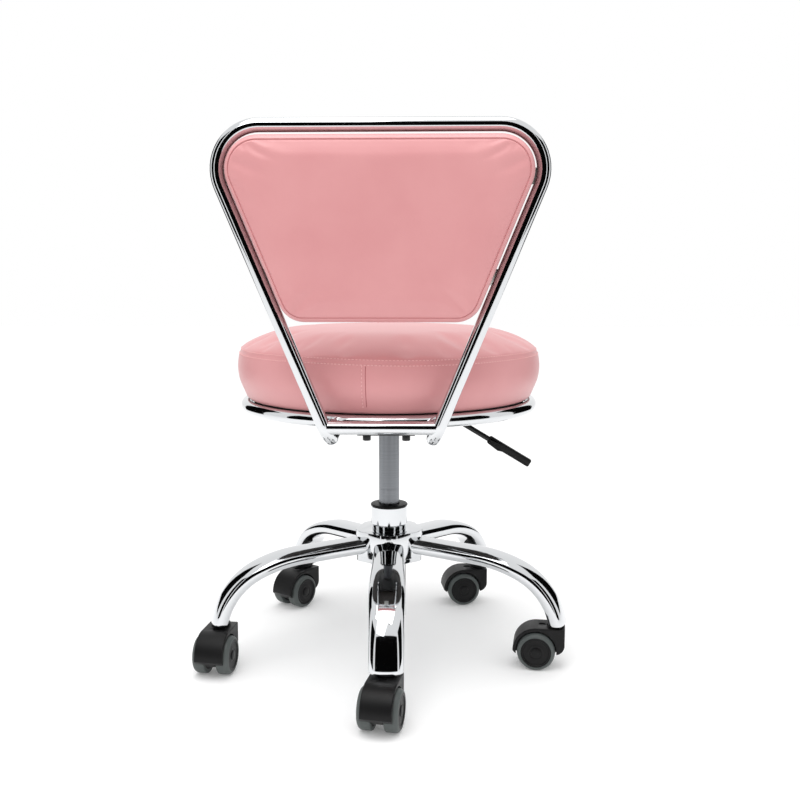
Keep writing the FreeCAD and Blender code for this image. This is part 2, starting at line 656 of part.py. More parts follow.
node(cut("mechanism_housing", housing_whole, [column_hole, slot, lever_pin] + shanks), "mechanism_housing")

# Lever: a bent rod on a pin, pressing the gas spring's release pin when its handle is lifted.
lever_fall = math.radians(size("lever_drop"))
lever_slope = Vector(-math.cos(lever_fall), 0, -math.sin(lever_fall))
bend_point = Vector(-size("lever_bend"), 0, size("lever_height"))
lever_end = bend_point + lever_slope * ((size("lever_reach") - size("lever_bend")) / math.cos(lever_fall))
grip_start = lever_end - lever_slope * size("handle_length")
rod_end = lever_end - lever_slope * size("handle_depth")
lever_wire = path_through([Vector(size("lever_inner"), 0, size("lever_height")), bend_point, rod_end],
                          [size("lever_bend_radius")])
lever_bar = rod_along(lever_wire, size("lever_diameter") / 2)
pin_hole = Part.makeCylinder(size("pin_diameter") / 2 + size("running_clearance"), size("ear_gap"),
                             Vector(-size("lever_pivot"), -size("ear_gap") / 2, size("lever_height")),
                             Vector(0, 1, 0))
shaped("lever_rod", lever_bar.cut(pin_hole))


def handle_shape():
    """A flat moulded paddle along the lever's slope, deeper below in its first half."""
    length = size("handle_length")
    deep = size("handle_depth") / 2
    outline = [(0, -deep * 0.7), (length * 0.28, -deep), (length * 0.38, -deep * 0.72),
               (length, -deep * 0.72), (length, deep * 0.72), (0, deep * 0.72)]
    down = Vector(-lever_slope.z, 0, lever_slope.x)
    corners = [grip_start + lever_slope * along - down * below for along, below in outline]
    face = Part.Face(Part.makePolygon(corners + corners[:1]))
    face.translate(Vector(0, -size("handle_width") / 2, 0))
    paddle = face.extrude(Vector(0, size("handle_width"), 0))
    rounding = size("handle_width") / 4
    return paddle.makeFillet(rounding, paddle.Edges)


shaped("lever_handle", handle_shape().cut(lever_bar))

# Seat: the cushion sits on the board and the chrome hoop runs round the board's edge.
tube = size("tube_size") / 2
hoop = doc.addObject("Part::Torus", "hoop")
bind(hoop, {"Radius1": "Sizes.ring_radius", "Radius2": half("tube_size")})
bind(hoop, {"Placement.Base.z": "Sizes.ring_height"})
hoop_room = doc.addObject("Part::Torus", "hoop_room")
bind(hoop_room, {"Radius1": "Sizes.ring_radius", "Radius2": half("tube_size") + " - Sizes.tube_sheet"})
bind(hoop_room, {"Placement.Base.z": "Sizes.ring_height"})
vent = cylinder("vent", half("vent_diameter"), "Sizes.tube_size / 2", "Sizes.ring_height - Sizes.tube_size")
bind(vent, {"Placement.Base.y": "-Sizes.ring_radius", "Height": "Sizes.tube_size"})
node(cut("seat_ring", hoop, [hoop_room, vent]), "seat_ring")
doc.recompute()

board_height = size("plate_bottom") + size("plate_thickness") + size("board_thickness")


def cushion_profile():
    """Half the seat cushion's outline in the XZ plane: foot, bulged side, shoulder and crown."""
    def place(radius, above):
        return Vector(radius, 0, board_height + above)

    foot = place(size("cushion_foot_radius"), 0)
    widest = place(size("cushion_radius"), size("cushion_widest"))
    seam = place(size("cushion_seam_radius"), size("cushion_seam"))
    shoulder = place(size("cushion_shoulder_radius"), size("cushion_shoulder"))
    crown = place(0, size("cushion_crown"))
    side = Part.Arc(foot, widest, seam).toShape()
    bulge = (seam + shoulder) * 0.5 + Vector(1, 0, 1) * (size("cushion_shoulder") - size("cushion_seam")) / 5
    corner = Part.Arc(seam, bulge, shoulder).toShape()
    dome = Part.makeLine(shoulder, crown)
    return Part.Wire([side, corner, dome, Part.makeLine(crown, place(0, 0)), Part.makeLine(place(0, 0), foot)])


shaped("seat_cushion", Part.Face(cushion_profile()).revolve(ORIGIN, UP, 360))

# Back frame: one tube, from a leg under the seat, round over the back and down to the other leg.
leg_height = size("plate_bottom") - tube
rise = size("frame_top") - leg_height
recline = math.radians(size("frame_recline"))
flare = math.tan(math.radians(size("frame_flare")))
lean = rise * math.tan(recline)


def frame_corner(side, height_above, back):
    """A corner of the frame's centre line on one side."""
    return Vector(side * (size("leg_spread") + flare * height_above), back, leg_height + height_above)


frame_route = [
    Vector(-size("leg_spread"), size("leg_front"), leg_height),
    frame_corner(-1, 0, size("frame_distance")),
    frame_corner(-1, rise, size("frame_distance") + lean),
    frame_corner(1, rise, size("frame_distance") + lean),
    frame_corner(1, 0, size("frame_distance")),
    Vector(size("leg_spread"), size("leg_front"), leg_height),
]
frame_bends = [size("elbow_radius"), size("corner_radius"), size("corner_radius"), size("elbow_radius")]
frame_wire = path_through(frame_route, frame_bends)
frame_bar = rod_along(frame_wire, tube)
frame_room = rod_along(frame_wire, tube - size("tube_sheet"))
frame_holes = [shank.Shape for shank in shanks]
shaped("back_frame", frame_bar.cut([frame_room] + frame_holes))
bar_reach = size("leg_spread") + flare * (size("bar_height") - leg_height) - size("tube_sheet")
bar_start = Vector(-bar_reach, size("frame_distance"), size("bar_height"))
bar_whole = Part.makeCylinder(tube, 2 * bar_reach, bar_start, Vector(1, 0, 0))
bar_pieces = bar_whole.cut([frame_bar, hoop.Shape]).Solids
shaped("cross_bar", max(bar_pieces, key=lambda solid: solid.Volume))

# Back cushion, in the frame's own plane: X across, Y up the plane, Z towards the sitter.
back_place = Placement(Vector(0, size("frame_distance"), leg_height),
                       Rotation(Vector(1, 0, 0), 90 - size("frame_recline")))
plane_rise = rise / math.cos(recline)
plane_flare = (frame_route[2].x - frame_route[1].x) / -plane_rise


def back_outline(inset):
    """The back cushion's outline, inset from the frame's inner edge, as a face in its own plane."""
    slant = math.hypot(1, plane_flare)
    margin = tube + size("back_gap") + inset
    low = size("back_bottom") + inset
    high = plane_rise - margin

    def side_at(above):
        return size("leg_spread") + plane_flare * above - margin * slant

    corners = [Vector(-side_at(low), low, 0), Vector(-side_at(high), high, 0),
               Vector(side_at(high), high, 0), Vector(side_at(low), low, 0)]
    start = (corners[0] + corners[3]) * 0.5
    foot = size("back_corner") - inset
    head = size("corner_radius") - margin
    wire = path_through([start] + corners + [start], [foot, head, head, foot])
    return Part.Face(wire)


def pad_shape(inset, first, thickness, rounded_face):
    """A slab of the outline from one height to the next, its outer edge rounded over."""
    slab = back_outline(inset)
    slab.translate(Vector(0, 0, first))
    solid = slab.extrude(Vector(0, 0, thickness))
    if rounded_face is None:
        return solid
    rim = [edge for edge in solid.Edges if abs(edge.BoundBox.ZMin - rounded_face) < 0.01
           and abs(edge.BoundBox.ZMax - rounded_face) < 0.01]
    return solid.makeFillet(size("pad_round"), rim)


board_half = size("back_board_thickness") / 2
lugs = []
lug_screws = []
for side in (-1, 1):
    for level in ("lug_low", "lug_high"):
        above = size(level)
        edge = size("leg_spread") + plane_flare * above
        lug = Part.makeBox(size("lug_reach"), size("lug_height"), size("tab_thickness"),
                           Vector(edge - size("lug_reach"), above - size("lug_height") / 2,
                                  -size("tab_thickness") / 2))
        hole = Part.makeCylinder(size("screw_diameter") / 2, size("back_board_thickness"),
                                 Vector(edge - size("lug_reach") + size("screw_head_diameter") / 2,
                                        above, -board_half))
        if side < 0:
            mirror = (ORIGIN, Vector(1, 0, 0))
            lug = lug.mirror(*mirror)
            hole = hole.mirror(*mirror)
        lugs.append(lug)
        lug_screws.append(hole)
frame_here = frame_bar.copy()
frame_here.Placement = back_place.inverse().multiply(frame_here.Placement)
lug_shapes = [lug.cut([frame_here] + lug_screws) for lug in lugs]
lug_shapes = [min(lug.Solids, key=lambda solid: abs(solid.CenterOfMass.x)) for lug in lug_shapes]
board_slab = pad_shape(size("back_board_inset"), -board_half, 2 * board_half, None)
shaped("back_board", board_slab.cut(lugs + lug_screws), back_place)
front_face = board_half + size("back_pad_thickness")
rear_face = -board_half - size("back_panel_thickness")
shaped("back_pad", pad_shape(0, board_half, size("back_pad_thickness"), front_face), back_place)
shaped("back_panel", pad_shape(0, rear_face, size("back_panel_thickness"), rear_face), back_place)

# Steel tabs and lugs, welded to the hoop and the frame, and the wood screws through them.
tab_shapes = []
tab_holes = [screw.Shape for screw in tab_screws]
for angle in tab_spots:
    thick = size("tab_thickness")
    reach = size("tab_reach")
    tab = Part.makeBox(reach, size("tab_width"), thick,
                       Vector(size("ring_radius") - reach, -size("tab_width") / 2, size("plate_bottom")))
    lip = Part.makeBox(thick * 2, size("tab_width"), tube,
                       Vector(size("ring_radius") - thick * 2, -size("tab_width") / 2,
                              size("plate_bottom") + thick))
    tab = tab.fuse(lip.cut(board_blank.Shape))
    tab.rotate(ORIGIN, UP, angle)
    tab_shapes.append(tab.cut([hoop.Shape] + tab_holes))
placed_lugs = []
for lug in lug_shapes:
    placed = lug.copy()
    placed.Placement = back_place.multiply(placed.Placement)
    placed_lugs.append(placed)
placed_screws = []
for screw in lug_screws:
    placed = screw.copy()
    placed.Placement = back_place.multiply(placed.Placement)
    placed_screws.append(placed)
tab_solids = [max(tab.Solids, key=lambda solid: solid.Volume) for tab in tab_shapes]
shaped("steel_tabs", Part.makeCompound(tab_solids + placed_lugs))
shaped("wood_screws", Part.makeCompound(tab_holes + placed_screws))

# Casters: each hood swivels on its stem, and two wheels turn on the axle behind it.
CASTER_TRAILS = [79.5, -7.6, 7.6, 55.8, 82.8]
wheel_half = size("wheel_width") / 2
wheel_offset = size("wheel_gap") / 2 + wheel_half
axle_height = size("wheel_diameter") / 2


def hood_shape():
    """A caster hood: one moulding that arches over both wheels, with a web between them."""
    trail = size("trail")
    reach = size("hood_radius")
    neck = size("hood_neck")
    top = size("caster_mount") - size("collar_thickness") - size("swivel_gap")
    low = size("hood_bottom")
    tyre = size("wheel_diameter") / 2
    tail = Vector(trail + reach, 0, axle_height)
    crest_turn = math.acos(min(1, (top - axle_height) / reach))
    crest = Vector(trail + reach * math.sin(crest_turn), 0, top)
    brow = Vector(trail + reach * math.sin(math.radians(45)), 0,
                  axle_height + reach * math.cos(math.radians(45)))
    chin = Vector(-neck, 0, axle_height + tyre / 3)
    jaw = Vector(-neck * 0.7, 0, axle_height)
    throat = Vector(0, 0, axle_height - tyre / 6)
    toe = Vector(neck, 0, low)
    heel = Vector(trail + tyre * 0.6, 0, low)
    heel_bend = Vector(trail + tyre * 0.96, 0, axle_height - tyre * 0.28)
    outline = [
        Part.Arc(tail, brow, crest).toShape(),
        Part.makeLine(crest, Vector(-neck, 0, top)),
        Part.makeLine(Vector(-neck, 0, top), chin),
        Part.Arc(chin, jaw, throat).toShape(),
        Part.makeLine(throat, toe),
        Part.makeLine(toe, heel),
        Part.makeLine(heel, heel_bend),
        Part.makeLine(heel_bend, tail),
    ]
    face = Part.Face(Part.Wire(outline))
    face.translate(Vector(0, -size("hood_width") / 2, 0))
    body = face.extrude(Vector(0, size("hood_width"), 0))
    rims = [edge for edge in body.Edges if edge.BoundBox.YLength < 0.01
            and edge.BoundBox.ZMin > axle_height - 0.01]
    body = body.makeFillet(size("hood_round"), rims)
    web = size("wheel_gap") / 2 - size("hood_wheel_gap") / 4
    room = tyre + size("hood_wheel_gap")
    cuts = []
    for side in (-1, 1):
        cuts.append(Part.makeCylinder(room, size("hood_width"), Vector(trail, side * web, axle_height),
                                      Vector(0, side, 0)))
    stem_low = top - size("stem_seat")
    cuts.append(Part.makeCylinder(size("stem_diameter") / 2, reach, Vector(0, 0, stem_low)))
    cuts.append(Part.makeCylinder(size("axle_diameter") / 2, size("hood_width"),
                                  Vector(trail, -size("hood_width") / 2, axle_height), Vector(0, 1, 0)))
    dimple_place = Vector((trail + size("stem_diameter")) / 2, 0, top - size("hood_dimple_depth"))
    cuts.append(Part.makeCylinder(size("hood_dimple") / 2, reach, dimple_place))
    return max(body.cut(cuts).Solids, key=lambda solid: solid.Volume)


hood_master = hood_shape()
stem_low = size("caster_mount") - size("collar_thickness") - size("swivel_gap") - size("stem_seat")
stem = Part.makeCylinder(size("stem_diameter") / 2, size("stem_length"), Vector(0, 0, stem_low))
axle_reach = wheel_offset + wheel_half - size("axle_end")
axle = Part.makeCylinder(size("axle_diameter") / 2, 2 * axle_reach,
                         Vector(size("trail"), -axle_reach, axle_height), Vector(0, 1, 0))
rim_edge = half("rim_diameter")
face_height = "Sizes.wheel_width / 2"
for index, (angle, trail_angle) in enumerate(zip(ARM_ANGLES, CASTER_TRAILS), start=1):
    swivel = Placement(stem_place(angle), Rotation(UP, trail_angle))
    shaped("caster_hood_%d" % index, hood_master.copy(), swivel)
    shaped("caster_spindle_%d" % index, Part.makeCompound([stem.copy(), axle.copy()]), swivel)
    for side, turn in (("left", 90), ("right", -90)):
        offset = wheel_offset if side == "right" else -wheel_offset
        seat = Placement(Vector(size("trail"), offset, axle_height), Rotation(Vector(1, 0, 0), turn))
        spot = swivel.multiply(seat)
        turned("caster_rim_%s_%d" % (side, index), [
            (bore("axle_diameter"), "-" + face_height),
            (rim_edge, "-" + face_height),
            (rim_edge, face_height),
            (rim_edge + " - Sizes.rim_dish * 2", face_height),
            (rim_edge + " - Sizes.rim_dish * 3", face_height + " - Sizes.rim_dish"),
            (half("rim_hub_diameter") + " + Sizes.rim_dish", face_height + " - Sizes.rim_dish"),
            (half("rim_hub_diameter"), face_height),
            (bore("axle_diameter"), face_height),
        ], spot)
        turned("caster_tyre_%s_%d" % (side, index), [
            (rim_edge, "-" + face_height),
            (half("wheel_diameter"), "-" + face_height),
            (half("wheel_diameter"), face_height),
            (rim_edge, face_height),
        ], spot, ("wheel_diameter", "tyre_round"))

doc.recompute()
broken = [thing.Label for thing in doc.Objects if "Invalid" in thing.State or "Error" in thing.State]
if broken:
    raise RuntimeError("failed objects: " + ", ".join(broken))
for part in nodes:
    if part.Shape.isNull() or not part.Shape.isValid():
        raise RuntimeError("bad shape: " + part.Label)
for part in nodes:
    part.Shape.exportStep(os.path.join("parts", part.Label + ".step"))
print("wrote", len(nodes), "sub-parts")
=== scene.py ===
"""Low-back pedicure stool: five-arm chrome base, gas lift, round seat on a hoop, framed back.

Metres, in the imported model's frame: origin on the floor on the column axis, front towards -Y.
Sections follow the stool as it is put together, from the floor up.
"""

import json
import math
import bmesh
import bpy
from mathutils import Euler, Matrix, Vector
from mathutils.bvhtree import BVHTree


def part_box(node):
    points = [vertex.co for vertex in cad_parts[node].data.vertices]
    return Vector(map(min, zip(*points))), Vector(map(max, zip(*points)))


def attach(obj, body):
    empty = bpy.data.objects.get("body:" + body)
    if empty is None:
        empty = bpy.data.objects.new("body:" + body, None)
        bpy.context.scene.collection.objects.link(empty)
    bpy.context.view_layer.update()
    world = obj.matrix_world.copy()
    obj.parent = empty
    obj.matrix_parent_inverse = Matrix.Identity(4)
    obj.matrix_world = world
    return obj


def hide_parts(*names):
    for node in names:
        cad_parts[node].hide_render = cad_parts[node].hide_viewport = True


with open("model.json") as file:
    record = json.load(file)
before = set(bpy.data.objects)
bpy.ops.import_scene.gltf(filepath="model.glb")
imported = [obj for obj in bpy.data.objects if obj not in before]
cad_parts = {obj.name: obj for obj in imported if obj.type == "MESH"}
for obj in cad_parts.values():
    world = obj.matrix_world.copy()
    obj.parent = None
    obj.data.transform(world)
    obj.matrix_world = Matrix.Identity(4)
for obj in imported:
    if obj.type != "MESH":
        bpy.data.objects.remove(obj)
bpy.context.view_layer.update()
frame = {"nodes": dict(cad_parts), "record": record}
nodes = frame["nodes"]
MM = 0.001

# ---------------------------------------------------------------- studio
# A seamless pale sweep, soft boxes overhead and at the sides, and black flags that only
# polished metal sees, so that the chrome shows the dark streaks of a product studio.


def linear(code):
    """A linear colour from an sRGB hex value."""
    channels = [int(code[i:i + 2], 16) / 255 for i in (1, 3, 5)]
    return [c / 12.92 if c <= 0.04045 else ((c + 0.055) / 1.055) ** 2.4 for c in channels] + [1.0]


def add(tree, kind, inputs=None, **settings):
    """One node with its settings; an input takes a value, or a socket to link from."""
    made = tree.nodes.new(kind)
    for name, setting in settings.items():
        setattr(made, name, setting)
    for name, value in (inputs or {}).items():
        if isinstance(value, bpy.types.NodeSocket):
            tree.links.new(value, made.inputs[name])
        else:
            made.inputs[name].default_value = value
    return made


def finish_named(name, **shader_values):
    """A new material: returns it with its tree, its shader and the object coordinates."""
    material = bpy.data.materials.new(name)
    material.use_nodes = True
    tree = material.node_tree
    shader = tree.nodes["Principled BSDF"]
    for socket, value in shader_values.items():
        shader.inputs[socket.replace("_", " ")].default_value = value
    place = add(tree, "ShaderNodeTexCoord").outputs["Object"]
    return material, tree, shader, place


def spread(tree, factor, low, high):
    """A factor from 0 to 1 turned into a range of numbers."""
    return add(tree, "ShaderNodeMapRange", {"Value": factor, "To Min": low, "To Max": high}).outputs["Result"]


def bump(tree, shader, height, distance, strength=1.0):
    """A relief of that many metres on the shader."""
    relief = add(tree, "ShaderNodeBump", {"Height": height, "Distance": distance, "Strength": strength})
    tree.links.new(relief.outputs["Normal"], shader.inputs["Normal"])


def tones(tree, factor, dark, light):
    """A colour between two hex values."""
    mix = add(tree, "ShaderNodeMix", {"Factor": factor}, data_type="RGBA")
    mix.inputs["A"].default_value = linear(dark)
    mix.inputs["B"].default_value = linear(light)
    return mix.outputs["Result"]


PAPER, _, paper_shader, _ = finish_named("matte_paper", Roughness=0.9)
paper_shader.inputs["Base Color"].default_value = linear("#F4F4F4")
paper_shader.inputs["Emission Color"].default_value = linear("#FFFFFF")
paper_shader.inputs["Emission Strength"].default_value = 0.12


def on_circle(radius, turn, height=0.0):
    """The point at a turn round the column's axis."""
    return Vector((radius * math.cos(turn), radius * math.sin(turn), height))


def stage_plane(name, size, at, facing, material):
    """A flat studio surface, size across, at a place and facing a point."""
    bpy.ops.mesh.primitive_plane_add(size=1)
    plane = bpy.context.object
    plane.name = name
    plane.scale = (size[0], size[1], 1)
    plane.location = at
    plane.rotation_euler = (Vector(facing) - Vector(at)).to_track_quat("Z", "Y").to_euler()
    plane.data.materials.append(material)
    return plane


stage_plane("floor", (16, 16), (0, 0, 0), (0, 0, 1), PAPER)
FLAG, _, flag_shader, _ = finish_named("black_velvet", Roughness=1.0)
flag_shader.inputs["Base Color"].default_value = linear("#060606")
flag_shader.inputs["Specular IOR Level"].default_value = 0.0
FLAG_DISTANCE = 1.6
FLAG_HEIGHT = 0.78
flag_stands = [("flag_top", (1.5, 1.5), Vector((0.15, 0.3, 2.4)))]
for flag_turn, flag_width in ((92.45, 2.1), (152, 1.0), (212, 1.0), (332, 1.0), (32, 1.0)):
    stand = on_circle(FLAG_DISTANCE, math.radians(flag_turn), FLAG_HEIGHT)
    flag_stands.append(("flag_%d" % flag_turn, (flag_width, 1.5), stand))
for flag_name, flag_size, stand in flag_stands:
    flag = stage_plane(flag_name, flag_size, stand, (0, 0, 0.6), FLAG)
    for ray in ("camera", "diffuse", "transmission", "shadow", "volume_scatter"):
        setattr(flag, "visible_" + ray, False)

world = bpy.data.worlds.new("white_cove")
bpy.context.scene.world = world
world.use_nodes = True
world.node_tree.nodes["Background"].inputs["Color"].default_value = linear("#FFFFFF")
world.node_tree.nodes["Background"].inputs["Strength"].default_value = 1.0


def soft_box(name, size, at, watts, facing=(0, 0, 0.4)):
    """A square soft box of that size, aimed at the stool."""
    lamp = bpy.data.lights.new(name, "AREA")
    lamp.shape = "SQUARE"
    lamp.size = size
    lamp.energy = watts
    holder = bpy.data.objects.new(name, lamp)
    holder.location = at
    holder.rotation_euler = (Vector(facing) - Vector(at)).to_track_quat("-Z", "Y").to_euler()
    bpy.context.scene.collection.objects.link(holder)


soft_box("overhead", 1.2, (0.1, 0.3, 1.9), 15)
soft_box("key_high", 0.6, (0.3, 1.0, 1.45), 3.2, (0, 0.2, 0.75))
bpy.context.scene.view_settings.view_transform = "Standard"

CAMERA_AZIMUTH = 92.45
CAMERA_DISTANCE = 1.325
CAMERA_HEIGHT = 0.5224
CAMERA_HEADING = 271.8
CAMERA_PITCH = 7.48
camera = bpy.data.objects.new("camera", bpy.data.cameras.new("camera"))
bpy.context.scene.collection.objects.link(camera)
camera.data.sensor_width = 36
camera.data.lens = 44.0
camera.location = on_circle(CAMERA_DISTANCE, math.radians(CAMERA_AZIMUTH), CAMERA_HEIGHT)
camera.rotation_euler = Euler((math.radians(90 - CAMERA_PITCH), 0, math.radians(CAMERA_HEADING - 90)))
bpy.context.scene.camera = camera

# ---------------------------------------------------------------- base
# The hub is a steel casting with a flat between each pair of arms, ground, polished and
# chrome plated. The five arms are pressed tube, welded to it before plating.

body_of_node = {}
for body_name, members in frame["record"]["behaviour"]["bodies"].items():
    for member in members:
        body_of_node[member] = body_name


def chrome(name, scale):
    """Bright chrome plate: mirror bright, with a faint haze and the waviness of polishing."""
    material, tree, shader, place = finish_named(name, Metallic=1.0)
    shader.inputs["Base Color"].default_value = linear("#D6D8DA")
    haze = add(tree, "ShaderNodeTexNoise", {"Vector": place, "Scale": scale, "Detail": 3.0})
    tree.links.new(spread(tree, haze.outputs["Fac"], 0.03, 0.09), shader.inputs["Roughness"])
    wave = add(tree, "ShaderNodeTexNoise", {"Vector": place, "Scale": scale * 0.7, "Detail": 1.0})
    bump(tree, shader, wave.outputs["Fac"], 0.25 * MM, 0.35)
    return material


CHROME = chrome("chrome_plate", 1 / 0.03)


def new_piece(name, mesh):
    """A mesh as an object at the origin."""
    piece = bpy.data.objects.new(name, mesh)
    bpy.context.scene.collection.objects.link(piece)
    return piece


def settle(piece, node, material):
    """The piece rides on its node's body, stands for the node and gets its finish."""
    piece.data.materials.clear()
    piece.data.materials.append(material)
    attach(piece, body_of_node[node])
    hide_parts(node)


def mesh_of(name, build, sharp=35):
    """A mesh from a bmesh function, with outward faces and smooth shading up to an angle."""
    shape = bmesh.new()
    build(shape)
    bmesh.ops.remove_doubles(shape, verts=shape.verts, dist=1e-6)
    bmesh.ops.recalc_face_normals(shape, faces=shape.faces)
    mesh = bpy.data.meshes.new(name)
    shape.to_mesh(mesh)
    shape.free()
    mesh.shade_smooth()
    mesh.set_sharp_from_angle(angle=math.radians(sharp))
    return mesh


def cad_copy(name, node, bevel, segments=3, sharp=40):
    """The node's own shape, welded, with its edges eased by a small bevel."""
    shape = bmesh.new()
    shape.from_mesh(nodes[node].data)
    bmesh.ops.remove_doubles(shape, verts=shape.verts, dist=2e-5)
    bmesh.ops.dissolve_limit(shape, angle_limit=math.radians(0.5), verts=shape.verts, edges=shape.edges)
    mesh = bpy.data.meshes.new(name)
    shape.to_mesh(mesh)
    shape.free()
    piece = new_piece(name, mesh)
    if bevel:
        ease = piece.modifiers.new("ease", "BEVEL")
        ease.width = bevel
        ease.segments = segments
        ease.limit_method = "ANGLE"
        ease.angle_limit = math.radians(sharp)
        ease.harden_normals = False
        eased = bpy.data.meshes.new_from_object(piece.evaluated_get(bpy.context.evaluated_depsgraph_get()))
        piece.modifiers.clear()
        piece.data = eased
    piece.data.shade_smooth()
    piece.data.set_sharp_from_angle(angle=math.radians(sharp))
    return piece


settle(cad_copy("hub", "base_hub", 1.6 * MM), "base_hub", CHROME)

ARM_COUNT = 5
ARM_TURN = math.radians(91.5)
ARM_ROOT = (30 * MM, 149.6 * MM)
ARM_SLOPE = math.radians(4.5)
ARM_STRAIGHT_END = 126 * MM
ARM_BENDS = ((170 * MM, math.radians(25), 8), (92 * MM, math.radians(78), 18))
ARM_DEPTH = 22 * MM
ARM_WIDTHS = (40 * MM, 46 * MM, 42 * MM)
ARM_FOOT = 59.5 * MM
STEM_RADIUS = 234 * MM
ARM_SIDES = 48
ARM_FULLNESS = 0.78


def arm_stations():
    """The arm's centre line from hub to caster, as (radius, height, slope)."""
    radius, height = ARM_ROOT
    slope = ARM_SLOPE
    stations = []
    for step in range(9):
        along = (ARM_STRAIGHT_END - radius) * step / 8
        stations.append((radius + along, height - along * math.tan(slope), slope))
    radius, height, slope = stations[-1]
    for bend, last, steps in ARM_BENDS:
        for step in range(1, steps + 1):
            angle = slope + (last - slope) * step / steps
            stations.append((radius + bend * (math.sin(angle) - math.sin(slope)),
                             height - bend * (math.cos(slope) - math.cos(angle)), angle))
        radius, height, slope = stations[-1]
    return stations


def arm_width(radius):
    """Width of the arm at a radius, widest at the shoulder."""
    root, shoulder, end = ARM_WIDTHS
    peak = (ARM_STRAIGHT_END + STEM_RADIUS) / 2
    if radius < peak:
        return root + (shoulder - root) * (radius - ARM_ROOT[0]) / (peak - ARM_ROOT[0])
    return shoulder + (end - shoulder) * min(1.0, (radius - peak) / (STEM_RADIUS - peak))


def oval_ring(shape, station, shrink, foot=None):
    """One flattened oval ring of vertices, square to the arm or laid on the foot's height."""
    radius, height, slope = station
    normal = Vector((math.sin(slope), 0, math.cos(slope)))
    along = Vector((math.cos(slope), 0, -math.sin(slope)))
    ring = []
    for i in range(ARM_SIDES):
        angle = 2 * math.pi * i / ARM_SIDES
        side = math.copysign(abs(math.cos(angle)) ** ARM_FULLNESS, math.cos(angle))
        lift = math.copysign(abs(math.sin(angle)) ** ARM_FULLNESS, math.sin(angle))
        point = Vector((radius, 0, height)) + normal * (ARM_DEPTH / 2 - shrink) * lift
        point.y += (arm_width(radius) / 2 - shrink) * side
        if foot is not None:
            point += along * ((foot - point.z) / along.z)
        ring.append(shape.verts.new(point))
    return ring


def bridge(shape, rings, close_ends=True):
    """Quads between rings of equal length, and a face over each end."""
    for low, high in zip(rings, rings[1:]):
        for i in range(len(low)):
            after = (i + 1) % len(low)
            shape.faces.new((low[i], low[after], high[after], high[i]))
    if close_ends:
        shape.faces.new(list(reversed(rings[0])))
        shape.faces.new(rings[-1])


def arm(shape):
    """An arm along +X with a turned-in edge at its foot."""
    stations = arm_stations()
    rings = [oval_ring(shape, station, 0) for station in stations]
    for rise, shrink in ((2.2, 0), (0.6, 0.35), (0, 1.2), (0, 4.0)):
        rings.append(oval_ring(shape, stations[-1], shrink * MM, ARM_FOOT + rise * MM))
    bridge(shape, rings)


arm_mesh = mesh_of("base_arm", arm)
for number in range(1, ARM_COUNT + 1):
    turned_mesh = arm_mesh.copy()
    turned_mesh.transform(Matrix.Rotation(ARM_TURN + (number - 1) * 2 * math.pi / ARM_COUNT, 4, "Z"))
    piece = new_piece("arm_%d" % number, turned_mesh)
    settle(piece, "base_arm_%d" % number, CHROME)

# ---------------------------------------------------------------- column
# The column is chromed steel tube. A black acetal bush in its mouth guides the gas
# spring, whose grey cylinder is drawn steel, centreless ground to a satin surface.


def lathe(profile, segments=96):
    """A bmesh function that turns (radius, height) points in mm about Z."""
    def build(shape):
        rings = []
        for radius, height in profile:
            if radius == 0:
                rings.append([shape.verts.new((0, 0, height * MM))])
                continue
            turns = (2 * math.pi * i / segments for i in range(segments))
            rings.append([shape.verts.new((radius * MM * math.cos(a), radius * MM * math.sin(a), height * MM))
                          for a in turns])
        for low, high in zip(rings, rings[1:] + rings[:1]):
            if len(low) == 1 and len(high) == 1:
                continue
            for i in range(segments):
                after = (i + 1) % segments
                if len(low) == 1:
                    shape.faces.new((low[0], high[after], high[i]))
                elif len(high) == 1:
                    shape.faces.new((low[i], low[after], high[0]))
                else:
                    shape.faces.new((low[i], low[after], high[after], high[i]))
    return build


TUBE_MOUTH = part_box("column_tube")[1][2] / MM
TUBE_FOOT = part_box("column_tube")[0][2] / MM
NECK_TOP = TUBE_MOUTH - 25
column_profile = [(5.2, TUBE_FOOT), (22, TUBE_FOOT), (23, TUBE_FOOT + 1), (23, NECK_TOP - 1.5),
                  (22.2, NECK_TOP - 1), (22.2, NECK_TOP), (24.2, NECK_TOP), (25, NECK_TOP + 0.8),
                  (25, TUBE_MOUTH - 0.8), (24.4, TUBE_MOUTH), (21.2, TUBE_MOUTH),
                  (21.2, TUBE_FOOT + 3), (5.2, TUBE_FOOT + 3)]
column = new_piece("column", mesh_of("column", lathe(column_profile), 30))
settle(column, "column_tube", CHROME)


def moulding(name, dark, light, gloss, grain_mm, depth_mm):
    """Injection-moulded plastic or rubber: fine spark-eroded grain and a slightly uneven colour."""
    material, tree, shader, place = finish_named(name, IOR=1.49)
    cloud = add(tree, "ShaderNodeTexNoise", {"Vector": place, "Scale": 1 / 0.018, "Detail": 4.0})
    shader.inputs["Specular IOR Level"].default_value = 0.28
    tree.links.new(tones(tree, cloud.outputs["Fac"], dark, light), shader.inputs["Base Color"])
    tree.links.new(spread(tree, cloud.outputs["Fac"], gloss, gloss + 0.14), shader.inputs["Roughness"])
    grain = add(tree, "ShaderNodeTexNoise", {"Vector": place, "Scale": 1 / (grain_mm * MM), "Detail": 2.0})
    bump(tree, shader, grain.outputs["Fac"], depth_mm * MM, 0.5)
    return material


